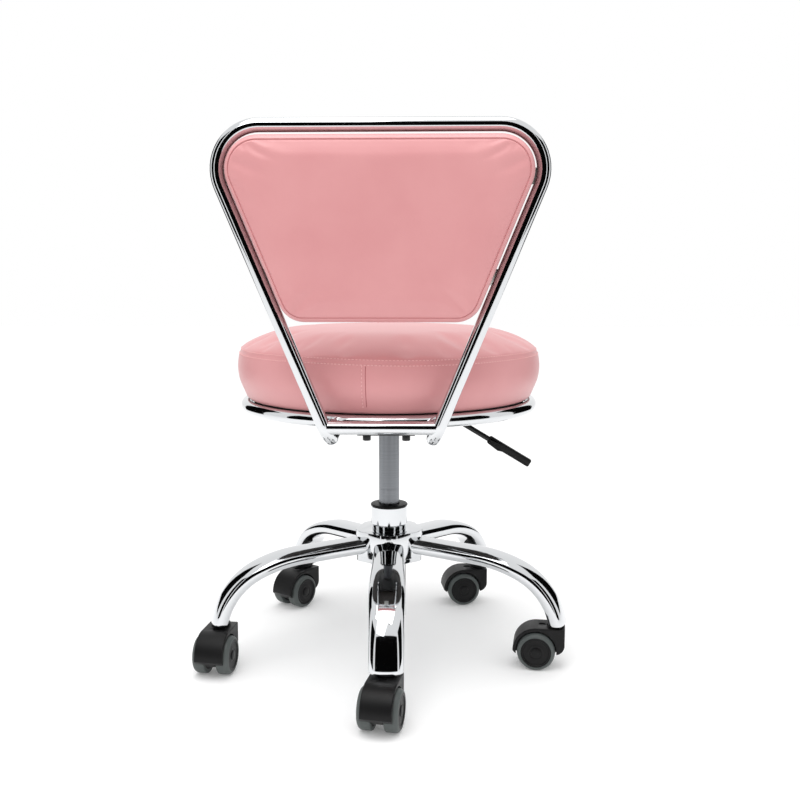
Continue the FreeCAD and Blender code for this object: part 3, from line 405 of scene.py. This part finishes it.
BLACK = moulding("black_acetal", "#08080A", "#111112", 0.34, 0.9, 0.05)
bush_profile = [(14.1, TUBE_MOUTH - 48), (20.9, TUBE_MOUTH - 48), (20.9, TUBE_MOUTH + 0.05),
                (25, TUBE_MOUTH + 0.05), (25.5, TUBE_MOUTH + 0.5), (25.5, TUBE_MOUTH + 1.8),
                (24.6, TUBE_MOUTH + 2.7), (20, TUBE_MOUTH + 3.3), (15.4, TUBE_MOUTH + 3.4),
                (14.6, TUBE_MOUTH + 3.0), (14.1, TUBE_MOUTH + 2.2)]
settle(new_piece("bush", mesh_of("bush", lathe(bush_profile), 30)), "column_bush", BLACK)


def drawn_steel(name, dark, light, gloss):
    """Steel bar or tube: fine rings of grinding round the axis and a dull satin gloss."""
    material, tree, shader, place = finish_named(name, Metallic=1.0)
    stretch = add(tree, "ShaderNodeMapping", {"Vector": place, "Scale": (3.0, 3.0, 900.0)})
    rings = add(tree, "ShaderNodeTexNoise",
                {"Vector": stretch.outputs["Vector"], "Scale": 1.0, "Detail": 5.0})
    tree.links.new(tones(tree, rings.outputs["Fac"], dark, light), shader.inputs["Base Color"])
    tree.links.new(spread(tree, rings.outputs["Fac"], gloss, gloss + 0.16), shader.inputs["Roughness"])
    bump(tree, shader, rings.outputs["Fac"], 0.02 * MM, 0.4)
    return material


GREY_STEEL = drawn_steel("ground_steel_tube", "#6E7176", "#A3A6AA", 0.30)
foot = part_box("gas_cylinder")[0][2] / MM
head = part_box("gas_cylinder")[1][2] / MM
groove = TUBE_MOUTH + 24
cylinder_profile = [(5.1, foot), (13.2, foot), (14, foot + 0.8), (14, groove - 0.5), (13.8, groove - 0.35),
                    (13.8, groove + 0.35), (14, groove + 0.5), (14, head - 0.8), (13.2, head), (3.1, head),
                    (3.1, head - 12.2), (0, head - 12.2), (0, head - 16.2), (12, head - 16.2),
                    (12, foot + 15), (5.1, foot + 15)]
gas_tube = new_piece("gas_tube", mesh_of("gas_tube", lathe(cylinder_profile), 25))
settle(gas_tube, "gas_cylinder", GREY_STEEL)

BRIGHT_STEEL = drawn_steel("ground_steel_bar", "#8E9196", "#B9BCC0", 0.22)
for hidden in ("piston_rod", "bearing_stack"):
    nodes[hidden].data.materials.clear()
    nodes[hidden].data.materials.append(BRIGHT_STEEL)

# ---------------------------------------------------------------- mechanism and plate
# Pressed steel channel and plate, powder coated black. Bolts pass up through both into
# tee nuts in the plywood, so the seat comes off with eight bolts.


def powder_coat():
    """Black powder coat: an orange-peel skin with a low gloss."""
    material, tree, shader, place = finish_named("powder_coat", IOR=1.5)
    peel = add(tree, "ShaderNodeTexNoise", {"Vector": place, "Scale": 1 / (1.6 * MM), "Detail": 2.0})
    tree.links.new(tones(tree, peel.outputs["Fac"], "#0A0B0C", "#151617"), shader.inputs["Base Color"])
    tree.links.new(spread(tree, peel.outputs["Fac"], 0.36, 0.5), shader.inputs["Roughness"])
    bump(tree, shader, peel.outputs["Fac"], 0.05 * MM, 0.6)
    return material


POWDER = powder_coat()
for node, ease in (("seat_plate", 0.5), ("mechanism_housing", 0.5), ("seat_bolts", 0.8)):
    settle(cad_copy(node + "_made", node, ease * MM, 2), node, POWDER)


def zinc_plate():
    """Bright zinc plate: cool grey with blue and straw clouds and a soft gloss."""
    material, tree, shader, place = finish_named("zinc_plate", Metallic=1.0)
    cloud = add(tree, "ShaderNodeTexNoise", {"Vector": place, "Scale": 1 / 0.012, "Detail": 3.0})
    tree.links.new(tones(tree, cloud.outputs["Fac"], "#A6ABB2", "#C3BFB4"), shader.inputs["Base Color"])
    tree.links.new(spread(tree, cloud.outputs["Fac"], 0.25, 0.42), shader.inputs["Roughness"])
    return material


ZINC = zinc_plate()
for node in ("tee_nuts", "wood_screws", "lever_pin"):
    nodes[node].data.materials.clear()
    nodes[node].data.materials.append(ZINC)
settle(cad_copy("tabs", "steel_tabs", 0.4 * MM, 2), "steel_tabs", ZINC)

# ---------------------------------------------------------------- boards
# Birch plywood, stained black brown: thin plies still show as stripes on the edge, and a
# long grain on the faces. The seat and the back are both upholstered over it.
PLY_THICKNESS = 3 * MM


def plywood():
    """Stained birch ply: stripes of thin plies at the edge and a stretched grain on the faces."""
    material, tree, shader, place = finish_named("stained_plywood", Roughness=0.55)
    plies = add(tree, "ShaderNodeTexWave",
                {"Vector": place, "Scale": 1 / (PLY_THICKNESS * math.pi), "Distortion": 0.6},
                bands_direction="Z")
    stretch = add(tree, "ShaderNodeMapping", {"Vector": place, "Scale": (6.0, 90.0, 90.0)})
    grain = add(tree, "ShaderNodeTexNoise",
                {"Vector": stretch.outputs["Vector"], "Scale": 3.0, "Detail": 5.0})
    edge = add(tree, "ShaderNodeMath", {0: plies.outputs["Fac"], 1: grain.outputs["Fac"]},
               operation="MULTIPLY")
    tree.links.new(tones(tree, edge.outputs["Value"], "#17110E", "#33271F"), shader.inputs["Base Color"])
    bump(tree, shader, grain.outputs["Fac"], 0.1 * MM, 0.5)
    return material


PLY = plywood()
settle(cad_copy("seat_board_made", "seat_board", 0.8 * MM, 2), "seat_board", PLY)
settle(cad_copy("back_board_made", "back_board", 0.6 * MM, 2), "back_board", PLY)

# ---------------------------------------------------------------- hoop, frame and cross bar
# Chromed steel tube of 16 mm. The hoop is rolled and butt welded; the back frame is one
# tube with four bends, and the cross bar is coped and welded between its legs.


def modifier_inputs(piece, tree, values):
    """Put a node tree on a piece, with its named inputs set by their identifiers."""
    modifier = piece.modifiers.new(tree.name, "NODES")
    modifier.node_group = tree
    for item in tree.interface.items_tree:
        if item.item_type == "SOCKET" and item.in_out == "INPUT" and item.name in values:
            modifier[item.identifier] = values[item.name]


def node_tree(name, inputs):
    """An empty geometry tree with those named inputs, and its two ends."""
    tree = bpy.data.node_groups.new(name, "GeometryNodeTree")
    tree.interface.new_socket("Geometry", in_out="INPUT", socket_type="NodeSocketGeometry")
    for label, kind in inputs:
        tree.interface.new_socket(label, in_out="INPUT", socket_type=kind)
    tree.interface.new_socket("Geometry", in_out="OUTPUT", socket_type="NodeSocketGeometry")
    start = add(tree, "NodeGroupInput")
    end = add(tree, "NodeGroupOutput")
    return tree, start, end


def baked(piece, tree, values):
    """The piece with the tree's result as its plain mesh."""
    modifier_inputs(piece, tree, values)
    made = bpy.data.meshes.new_from_object(piece.evaluated_get(bpy.context.evaluated_depsgraph_get()))
    piece.modifiers.clear()
    piece.data = made
    return piece


def tube_tree():
    """A round tube with flat filled ends along a chain of edges."""
    tree, start, end = node_tree("tube_along_path", (
        ("Radius", "NodeSocketFloat"), ("Sides", "NodeSocketInt"), ("Finish", "NodeSocketMaterial")))
    path = add(tree, "GeometryNodeMeshToCurve", {"Mesh": start.outputs["Geometry"]})
    ring = add(tree, "GeometryNodeCurvePrimitiveCircle", {"Radius": start.outputs["Radius"],
                                                          "Resolution": start.outputs["Sides"]})
    skin = add(tree, "GeometryNodeCurveToMesh", {"Curve": path.outputs["Curve"],
                                                 "Profile Curve": ring.outputs["Curve"], "Fill Caps": True})
    soft = add(tree, "GeometryNodeSetShadeSmooth", {"Geometry": skin.outputs["Mesh"]})
    real = add(tree, "GeometryNodeRealizeInstances", {"Geometry": soft.outputs["Geometry"]})
    coat = add(tree, "GeometryNodeSetMaterial", {"Geometry": real.outputs["Geometry"],
                                                 "Material": start.outputs["Finish"]})
    tree.links.new(coat.outputs["Geometry"], end.inputs["Geometry"])
    return tree


TUBE_TREE = tube_tree()


def chain(name, points, closed=False):
    """A mesh of edges through the points."""
    links = [(i, i + 1) for i in range(len(points) - 1)]
    if closed:
        links.append((len(points) - 1, 0))
    mesh = bpy.data.meshes.new(name)
    mesh.from_pydata([tuple(point) for point in points], links, [])
    return new_piece(name, mesh)


def tube(name, points, radius, finish, sides=40, closed=False):
    """A round tube of that radius along the points."""
    path = chain(name, points, closed)
    return baked(path, TUBE_TREE, {"Radius": radius, "Sides": sides, "Finish": finish})


def bent(corners, radii, steps=16):
    """Points along straight runs joined by tangent arcs, one radius for each inner corner."""
    points = [corners[0]]
    for before, corner, after, radius in zip(corners, corners[1:], corners[2:], radii):
        back = (before - corner).normalized()
        on = (after - corner).normalized()
        opening = back.angle(on)
        start = corner + back * radius / math.tan(opening / 2)
        middle = corner + (back + on).normalized() * radius / math.sin(opening / 2)
        across = (start - middle).normalized()
        axis = back.cross(on).normalized()
        sweep = math.pi - opening
        for step in range(steps + 1):
            turn = Matrix.Rotation(-sweep * step / steps, 3, axis)
            points.append(middle + turn @ across * radius)
    points.append(corners[-1])
    return points


TUBE_RADIUS = 8 * MM
HOOP_RADIUS = 191.2 * MM
HOOP_HEIGHT = sum(corner[2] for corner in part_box("seat_ring")) / 2
HOOP_STEPS = 180
hoop_points = [on_circle(HOOP_RADIUS, 2 * math.pi * i / HOOP_STEPS, HOOP_HEIGHT) for i in range(HOOP_STEPS)]
hoop = tube("hoop", hoop_points, TUBE_RADIUS, CHROME, closed=True)
settle(hoop, "seat_ring", CHROME)

LEG_SPREAD = 60 * MM
LEG_FRONT = 20 * MM
LEG_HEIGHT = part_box("back_frame")[0][2] + TUBE_RADIUS
FRAME_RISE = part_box("back_frame")[1][2] - TUBE_RADIUS - LEG_HEIGHT
FRAME_BACK = 207 * MM
RECLINE = math.radians(4.3)
FLARE = math.tan(math.radians(21.9))
FRAME_BENDS = (24 * MM, 48 * MM, 48 * MM, 24 * MM)
top_spread = LEG_SPREAD + FLARE * FRAME_RISE
top_back = FRAME_BACK + FRAME_RISE * math.tan(RECLINE)
frame_corners = [Vector((-LEG_SPREAD, LEG_FRONT, LEG_HEIGHT)), Vector((-LEG_SPREAD, FRAME_BACK, LEG_HEIGHT)),
                 Vector((-top_spread, top_back, LEG_HEIGHT + FRAME_RISE)),
                 Vector((top_spread, top_back, LEG_HEIGHT + FRAME_RISE)),
                 Vector((LEG_SPREAD, FRAME_BACK, LEG_HEIGHT)), Vector((LEG_SPREAD, LEG_FRONT, LEG_HEIGHT))]
back_tube = tube("back_tube", bent(frame_corners, FRAME_BENDS), TUBE_RADIUS, CHROME)
settle(back_tube, "back_frame", CHROME)

BAR_HEIGHT = sum(corner[2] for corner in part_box("cross_bar")) / 2
bar_reach = LEG_SPREAD + FLARE * (BAR_HEIGHT - LEG_HEIGHT) - 2 * MM
bar_ends = [Vector((side * bar_reach, FRAME_BACK, BAR_HEIGHT)) for side in (-1, 1)]
bar = tube("bar", bar_ends, TUBE_RADIUS, CHROME)
settle(bar, "cross_bar", CHROME)

# ---------------------------------------------------------------- upholstery
# Pink PVC leathercloth over moulded foam. Each cover is sewn from a top panel and a side
# band, turned, and top-stitched beside the seam, then pulled over the board and stapled.


def leathercloth():
    """Coated fabric: an embossed leather grain, soft sheen and a slight unevenness of colour."""
    material, tree, shader, place = finish_named("pvc_leathercloth", IOR=1.5)
    shader.inputs["Coat Weight"].default_value = 0.12
    shader.inputs["Coat Roughness"].default_value = 0.35
    shader.inputs["Sheen Weight"].default_value = 0.15
    shader.inputs["Sheen Roughness"].default_value = 0.5
    cloud = add(tree, "ShaderNodeTexNoise", {"Vector": place, "Scale": 1 / 0.06, "Detail": 3.0})
    tree.links.new(tones(tree, cloud.outputs["Fac"], "#C78486", "#D29394"), shader.inputs["Base Color"])
    tree.links.new(spread(tree, cloud.outputs["Fac"], 0.36, 0.48), shader.inputs["Roughness"])
    pebble = add(tree, "ShaderNodeTexVoronoi", {"Vector": place, "Scale": 1 / (1.5 * MM), "Randomness": 1.0})
    crease = add(tree, "ShaderNodeTexNoise", {"Vector": place, "Scale": 1 / (4 * MM), "Detail": 4.0})
    grain = add(tree, "ShaderNodeMath", {0: pebble.outputs["Distance"], 1: crease.outputs["Fac"]},
                operation="ADD")
    bump(tree, shader, grain.outputs["Value"], 0.09 * MM, 0.45)
    return material


VINYL = leathercloth()
THREAD = moulding("spun_thread", "#DDA3A3", "#E9BDBB", 0.6, 0.4, 0.1)
# Painted shade: this dark pink stands in for the shadow inside a sewn join, laid on as a thin tube.
PAINTED_SEAM_SHADE = moulding("painted_seam_shade", "#9A5557", "#A96365", 0.6, 0.4, 0.1)


def ring_solid(outline, rings, centre):
    """A closed form of rings, each (inset, share, height) of an outline of points and normals in mm.

    Inset moves a ring along the outline's normals; share then draws it towards the centre. Both
    ends stay open, for closed_up to close once the surface is smooth."""
    def build(shape):
        made = []
        for inset, share, height in rings:
            ring = []
            for point, normal in outline:
                at = (point - normal * inset).lerp(centre, share)
                ring.append(shape.verts.new((at.x * MM, at.y * MM, height * MM)))
            made.append(ring)
        bridge(shape, made, False)
    return build


def closed_up(piece):
    """Close the open ends of a cover with one flat face each."""
    shape = bmesh.new()
    shape.from_mesh(piece.data)
    ends = [edge for edge in shape.edges if edge.is_boundary]
    bmesh.ops.holes_fill(shape, edges=ends, sides=0)
    bmesh.ops.recalc_face_normals(shape, faces=shape.faces)
    shape.to_mesh(piece.data)
    shape.free()
    piece.data.shade_smooth()


FOAM_PRESSURE = 4.0
CLOTH_STEPS = 20


def swell(piece, held, most):
    """Blow the cover out like packed foam by a short cloth run, moving no point further than most."""
    before = [vertex.co.copy() for vertex in piece.data.vertices]
    group = piece.vertex_groups.new(name="held")
    for index, vertex in enumerate(piece.data.vertices):
        weight = held(vertex.co)
        if weight > 0:
            group.add([index], weight, "REPLACE")
    cloth = piece.modifiers.new("swell", "CLOTH")
    cloth.settings.quality = 5
    cloth.settings.mass = 0.3
    cloth.settings.tension_stiffness = 30
    cloth.settings.compression_stiffness = 30
    cloth.settings.shear_stiffness = 5
    cloth.settings.bending_stiffness = 8
    cloth.settings.vertex_group_mass = "held"
    cloth.settings.use_pressure = True
    cloth.settings.uniform_pressure_force = FOAM_PRESSURE
    cloth.settings.effector_weights.gravity = 0
    cloth.collision_settings.use_collision = False
    for step in range(1, CLOTH_STEPS + 1):
        bpy.context.scene.frame_set(step)
    blown = piece.evaluated_get(bpy.context.evaluated_depsgraph_get())
    after = [vertex.co.copy() for vertex in blown.data.vertices]
    piece.modifiers.clear()
    bpy.context.scene.frame_set(1)
    for vertex, old, new in zip(piece.data.vertices, before, after):
        move = new - old
        if move.length > most:
            move = move.normalized() * most
        vertex.co = old + move
    piece.vertex_groups.clear()


def smoothed(piece):
    """Bake one level of subdivision into the open cover, then close its ends."""
    smooth = piece.modifiers.new("smooth", "SUBSURF")
    smooth.levels = 1
    smooth.render_levels = 1
    made = bpy.data.meshes.new_from_object(piece.evaluated_get(bpy.context.evaluated_depsgraph_get()))
    piece.modifiers.clear()
    piece.data = made
    closed_up(piece)


def stitch_tree():
    """Short fat stitches at an even pitch along a chain of edges."""
    tree, start, end = node_tree("stitch_row", (
        ("Pitch", "NodeSocketFloat"), ("Length", "NodeSocketFloat"), ("Thickness", "NodeSocketFloat"),
        ("Finish", "NodeSocketMaterial")))
    path = add(tree, "GeometryNodeMeshToCurve", {"Mesh": start.outputs["Geometry"]})
    spots = add(tree, "GeometryNodeResampleCurve",
                {"Curve": path.outputs["Curve"], "Length": start.outputs["Pitch"]}, mode="LENGTH")
    tangent = add(tree, "GeometryNodeInputTangent")
    turn = add(tree, "FunctionNodeAlignRotationToVector", {"Vector": tangent.outputs["Tangent"]}, axis="X")
    bead = add(tree, "GeometryNodeMeshUVSphere", {"Segments": 6, "Rings": 4, "Radius": 0.5})
    size = add(tree, "ShaderNodeCombineXYZ", {"X": start.outputs["Length"], "Y": start.outputs["Thickness"],
                                              "Z": start.outputs["Thickness"]})
    shape = add(tree, "GeometryNodeTransform",
                {"Geometry": bead.outputs["Mesh"], "Scale": size.outputs["Vector"]})
    row = add(tree, "GeometryNodeInstanceOnPoints", {"Points": spots.outputs["Curve"],
                                                     "Instance": shape.outputs["Geometry"],
                                                     "Rotation": turn.outputs["Rotation"]})
    soft = add(tree, "GeometryNodeSetShadeSmooth", {"Geometry": row.outputs["Instances"]})
    real = add(tree, "GeometryNodeRealizeInstances", {"Geometry": soft.outputs["Geometry"]})
    coat = add(tree, "GeometryNodeSetMaterial", {"Geometry": real.outputs["Geometry"],
                                                 "Material": start.outputs["Finish"]})
    tree.links.new(coat.outputs["Geometry"], end.inputs["Geometry"])
    return tree


STITCH_TREE = stitch_tree()


def sew(name, cover, rows, closed):
    """Rows of stitches laid on a cover, each a list of points near its surface."""
    tree = BVHTree.FromObject(cover, bpy.context.evaluated_depsgraph_get())
    points = []
    links = []
    for row in rows:
        first = len(points)
        for point in row:
            spot, normal = tree.find_nearest(point)[:2]
            points.append(tuple(spot + normal * 0.1 * MM))
        links += [(i, i + 1) for i in range(first, len(points) - 1)]
        if closed:
            links.append((len(points) - 1, first))
    mesh = bpy.data.meshes.new(name)
    mesh.from_pydata(points, links, [])
    thread = baked(new_piece(name, mesh), STITCH_TREE,
                   {"Pitch": 4.4 * MM, "Length": 3.2 * MM, "Thickness": 1.1 * MM, "Finish": THREAD})
    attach(thread, "seat")


def seam_shade_line(name, cover, row):
    """A fine dark pink tube along points near a cover: painted shade standing in for the shadow in a sewn
    join.
    """
    tree = BVHTree.FromObject(cover, bpy.context.evaluated_depsgraph_get())
    line = tube(name, [tree.find_nearest(point)[0] for point in row], 0.4 * MM, PAINTED_SEAM_SHADE, sides=8)
    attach(line, "seat")


# Seat cushion: round, with a bulged side band, a seam at the shoulder and a crowned top.
SEAT_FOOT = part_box("seat_cushion")[0][2] / MM
SEAT_SEGMENTS = 200
SEAM_RADIUS = 200.5
SEAM_RISE = 62
SEAM_REACH = 22
circle = []
for i in range(SEAT_SEGMENTS):
    spoke = on_circle(1, 2 * math.pi * i / SEAT_SEGMENTS)
    circle.append((spoke * SEAM_RADIUS, spoke))
seat_outline = [(180, 0.2), (187, 0.3), (190.2, 1.5), (192, 5), (194, 10), (196.5, 16), (199.3, 22),
                (201, 28), (202, 34), (202.6, 40), (202.5, 46), (201.8, 52), (200.9, 57), (200.0, 60.5),
                (198.6, SEAM_RISE), (198.6, 63.4), (197.8, 66.5), (195.2, 70), (191, 74), (185.5, 77.6),
                (178, 81), (169, 83.6), (158, 85.6), (144, 87.2), (128, 88.3), (110, 89), (90, 89.5),
                (70, 89.9), (50, 90.2), (30, 90.4), (10, 90.5)]
seat_rings = [(SEAM_RADIUS - radius, 0, SEAT_FOOT + rise) for radius, rise in seat_outline]
seat = new_piece("seat_cover", mesh_of("seat_cover", ring_solid(circle, seat_rings, Vector((0, 0, 0))), 180))


def seat_hold(point):
    """How firmly the seat's cover is held: at its foot and along the sewn seam."""
    rise = point.z / MM - SEAT_FOOT
    if rise < 1.6 or abs(rise - SEAM_RISE - 0.7) < 1.0:
        return 1.0
    return 0.0


def seam_wander(turn):
    """How far the hand-guided seam strays up or down at a turn, in mm."""
    return 0.9 * math.sin(2 * turn + 0.6) + 0.5 * math.sin(5 * turn + 2.0)


swell(seat, seat_hold, 4 * MM)
for vertex in seat.data.vertices:
    rise = vertex.co.z / MM - SEAT_FOOT
    turn = math.atan2(vertex.co.y, vertex.co.x)
    share = max(0.0, 1 - abs(rise - SEAM_RISE) / SEAM_REACH)
    vertex.co.z += (seam_wander(turn) + 0.35 * math.sin(11 * turn)) * share * MM
smoothed(seat)
settle(seat, "seat_cushion", VINYL)
seam_rows = []
for radius, rise in ((199.9, SEAM_RISE - 2.6), (197.8, SEAM_RISE + 3.6)):
    turns = [math.radians(degree) for degree in range(360)]
    seam_rows.append([on_circle(radius * MM, turn, (SEAT_FOOT + rise + seam_wander(turn)) * MM)
                      for turn in turns])
sew("seat_stitches", seat, seam_rows, True)
JOIN_TURN = math.radians(84.7)
JOIN_RADIUS = 205 * MM
JOIN_STEPS = 29
join_row = []
for i in range(JOIN_STEPS + 1):
    rise = 5 + (SEAM_RISE - 8) * i / JOIN_STEPS
    join_row.append(on_circle(JOIN_RADIUS, JOIN_TURN, (SEAT_FOOT + rise) * MM))
# Painted shade along the seat's upright join seam.
seam_shade_line("seat_join_seam_shade", seat, join_row)
beside = Matrix.Rotation(math.radians(-1.3), 3, "Z")
sew("seat_join_stitches", seat, [[beside @ point for point in join_row]], False)

# Back cushion: a front pad and a rear panel, each a cover over foam on its face of the
# board. Both are cut to the frame's shape, with a seam round the edge and a side band.
BACK_TURN = math.radians(90) - RECLINE
BACK_PLACE = Matrix.Translation((0, FRAME_BACK, LEG_HEIGHT)) @ Matrix.Rotation(BACK_TURN, 4, "X")
BACK_FOOT = (104.9, 141.0, 30.0)
BACK_HEAD = (186.4, 344.4, 37.2)
BACK_CENTRE = Vector((0, 252, 0))


def rounded_outline(corners, pitch):
    """(point, outward normal) round a closed shape of (x, y, corner radius) corners, in mm."""
    places = [Vector((x, y, 0)) for x, y, radius in corners]
    path = []
    for i, (x, y, radius) in enumerate(corners):
        corner = places[i]
        back = (places[i - 1] - corner).normalized()
        on = (places[(i + 1) % len(places)] - corner).normalized()
        opening = back.angle(on)
        middle = corner + (back + on).normalized() * radius / math.sin(opening / 2)
        start = corner + back * radius / math.tan(opening / 2)
        sweep = math.pi - opening
        steps = max(6, round(radius * sweep / pitch))
        for step in range(steps + 1):
            spoke = Matrix.Rotation(sweep * step / steps, 3, "Z") @ (start - middle)
            path.append((middle + spoke, spoke.normalized()))
    outline = []
    for (point, normal), (after, _) in zip(path, path[1:] + path[:1]):
        steps = max(1, round((after - point).length / pitch))
        outline += [(point.lerp(after, step / steps), normal) for step in range(steps)]
    return outline


back_corners = [(side * half, height, radius) for side, (half, height, radius) in
                ((-1, BACK_FOOT), (1, BACK_FOOT), (1, BACK_HEAD), (-1, BACK_HEAD))]
back_outline = rounded_outline(back_corners, 4.0)


def back_cover(name, node, band, crown, seam_height, cap):
    """A cover on one face of the back board, with its swelling, in the back's own frame."""
    rings = band + crown
    shape = mesh_of(name, ring_solid(back_outline, rings, BACK_CENTRE), 180)
    cover = new_piece(name, shape)
    foot = abs(band[0][2]) + 0.2

    def held(point):
        """Held at the board and along the sewn seam."""
        height = point.z / MM
        near = min((point.xy / MM - spot.xy).length for spot, _ in back_outline[::3]) < 9
        if abs(height) < foot or (near and abs(height - seam_height) < 0.6):
            return 1.0
        return 0.0

    swell(cover, held, cap)
    cover.data.transform(BACK_PLACE)
    smoothed(cover)
    settle(cover, node, VINYL)
    return cover


def crown_rings(start_inset, rise_from, rise_to, edge_share):
    """Rings from the seam over the face: a tight roll near the edge, then a shallow dome."""
    rings = []
    for step in range(1, 8):
        turn = math.radians(90 * step / 8)
        rings.append((start_inset + 9.0 * (1 - math.cos(turn)), 0,
                      rise_from + (rise_to - rise_from) * edge_share * math.sin(turn)))
    for step in range(0, 19):
        share = step / 20
        rings.append((start_inset + 10.0, share, rise_from + (rise_to - rise_from)
                      * (edge_share + (1 - edge_share) * (1 - (1 - share) ** 2.2))))
    return rings


rear_band = [(9, 0, -6.3), (6.2, 0, -6.3), (5.6, 0, -5.8), (5.6, 0, -2.0), (4.9, 0, -1.7), (1.2, 0, -1.7),
             (0.3, 0, -2.4), (0.0, 0, -5), (-0.3, 0, -9), (-0.2, 0, -13), (0.4, 0, -17), (1.7, 0, -20.6),
             (3.2, 0, -22.8), (4.6, 0, -24.1), (5.1, 0, -24.2), (5.4, 0, -22.9), (5.9, 0, -22.9),
             (6.2, 0, -24.3), (6.9, 0, -24.9)]
rear_crown = crown_rings(6.9, -24.9, -28.4, 0.6)
rear_cover = back_cover("back_rear_cover", "back_panel", rear_band, rear_crown, -22.9, 2 * MM)
front_band = [(9, 0, 6.3), (6.2, 0, 6.3), (5.6, 0, 5.8), (5.6, 0, 2.0), (4.9, 0, 1.7), (1.2, 0, 1.7),
              (0.3, 0, 2.4), (-0.4, 0, 6), (-1.0, 0, 12), (-1.2, 0, 17), (-1.0, 0, 22), (-0.2, 0, 25.5),
              (1.4, 0, 26.6), (1.2, 0, 27.6)]
front_crown = crown_rings(1.2, 27.6, 40.0, 0.66)
front_cover = back_cover("back_front_cover", "back_pad", front_band, front_crown, 26.6, 3 * MM)
front_height = Vector((0, 0, 33.5 * MM))
front_row = [BACK_PLACE @ ((point - normal * 6.0) * MM + front_height) for point, normal in back_outline]
sew("back_front_stitches", front_cover, [front_row], True)
join_points = [BACK_PLACE @ Vector((2 * MM, 140.8 * MM, -height * MM)) for height in range(8, 20, 2)]
sew("back_join_stitches", rear_cover, [join_points], False)

# ---------------------------------------------------------------- lift lever
# A bent steel rod, powder coated, pivots on a pin in the channel. A black grip is pushed
# onto its flattened end, and pulling it up presses the gas spring's release pin.
ROD_RADIUS = 3.5 * MM
PIVOT = Vector((-30 * MM, 0, 322 * MM))
ROD_DROP = math.radians(31)
rod_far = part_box("lever_rod")[0][0] + ROD_RADIUS * math.sin(ROD_DROP)
ROD_BEND = Vector((-92 * MM, 0, PIVOT.z))
rod_corners = [PIVOT + Vector((3 * MM, 0, 0)), ROD_BEND,
               Vector((rod_far, 0, PIVOT.z + (rod_far - ROD_BEND.x) * math.tan(ROD_DROP)))]
rod = tube("rod", bent(rod_corners, (15 * MM,)), ROD_RADIUS, POWDER, sides=28)
settle(rod, "lever_rod", POWDER)
GRIP = moulding("black_nylon_grip", "#080809", "#121213", 0.42, 0.7, 0.09)
settle(cad_copy("grip", "lever_handle", 1.4 * MM, 3), "lever_handle", GRIP)
nodes["release_pin"].data.materials.clear()
nodes["release_pin"].data.materials.append(BLACK)

# ---------------------------------------------------------------- casters
# Twin-wheel casters: a zinc stem in a plastic socket, a nylon hood, and two wheels of
# black nylon with grey polyurethane treads, turning on one steel axle.
settle(cad_copy("sockets", "caster_sockets", 0.5 * MM, 2), "caster_sockets", BLACK)
TYRE = moulding("grey_polyurethane", "#484D4C", "#565B5A", 0.36, 0.8, 0.04)
HOOD = moulding("black_nylon", "#070708", "#101011", 0.38, 0.8, 0.06)
CASTER_TRAILS = (79.5, -7.6, 7.6, 55.8, 82.8)
TRAIL = 25 * MM
WHEEL_RADIUS = 25 * MM
WHEEL_OFFSET = 16 * MM
rim_profile = [(0, 5.6), (3.1, 5.6), (3.1, -8.3), (19.8, -8.3), (19.8, 8.0), (19.3, 8.5), (17.6, 8.5),
               (17.0, 8.0), (16.7, 7.5), (10.2, 7.2), (9.6, 7.5), (9.0, 7.5), (8.4, 7.2), (7.0, 7.2),
               (6.5, 7.5), (6.3, 8.3), (5.8, 8.6), (0, 8.8)]
tyre_profile = [(20.0, -8.5), (23.4, -8.5), (24.4, -8.1), (24.9, -7.1), (25, -6.0), (25, 2.4),
                (24.85, 4.0), (24.3, 5.6), (23.4, 7.0), (22.2, 8.0), (21.0, 8.5), (20.0, 8.6)]
rim_mesh = mesh_of("rim", lathe(rim_profile, 72), 32)
tyre_mesh = mesh_of("tyre", lathe(tyre_profile, 96), 32)
wheel_parts = (("rim", rim_mesh, "black_moulding", HOOD), ("tyre", tyre_mesh, "grey_tyre", TYRE))
for number, trail in enumerate(CASTER_TRAILS, 1):
    stem_turn = ARM_TURN + (number - 1) * 2 * math.pi / ARM_COUNT
    along = on_circle(1, math.radians(trail))
    centre = on_circle(STEM_RADIUS, stem_turn, WHEEL_RADIUS) + along * TRAIL
    for hand, sign in (("left", -1), ("right", 1)):
        axis = Vector((-along.y, along.x, 0)) * sign
        facing = axis.to_track_quat("Z", "Y").to_matrix().to_4x4()
        place = Matrix.Translation(centre + axis * WHEEL_OFFSET) @ facing
        for part, source, slot, material in wheel_parts:
            made = source.copy()
            made.transform(place)
            node = "caster_%s_%s_%d" % (part, hand, number)
            settle(new_piece("%s_%s_%d" % (part, hand, number), made), node, material)
    hood_node = "caster_hood_%d" % number
    settle(cad_copy("hood_%d" % number, hood_node, 1.0 * MM, 3), hood_node, HOOD)
    spindle_node = "caster_spindle_%d" % number
    settle(cad_copy("spindle_%d" % number, spindle_node, 0.4 * MM, 2), spindle_node, ZINC)
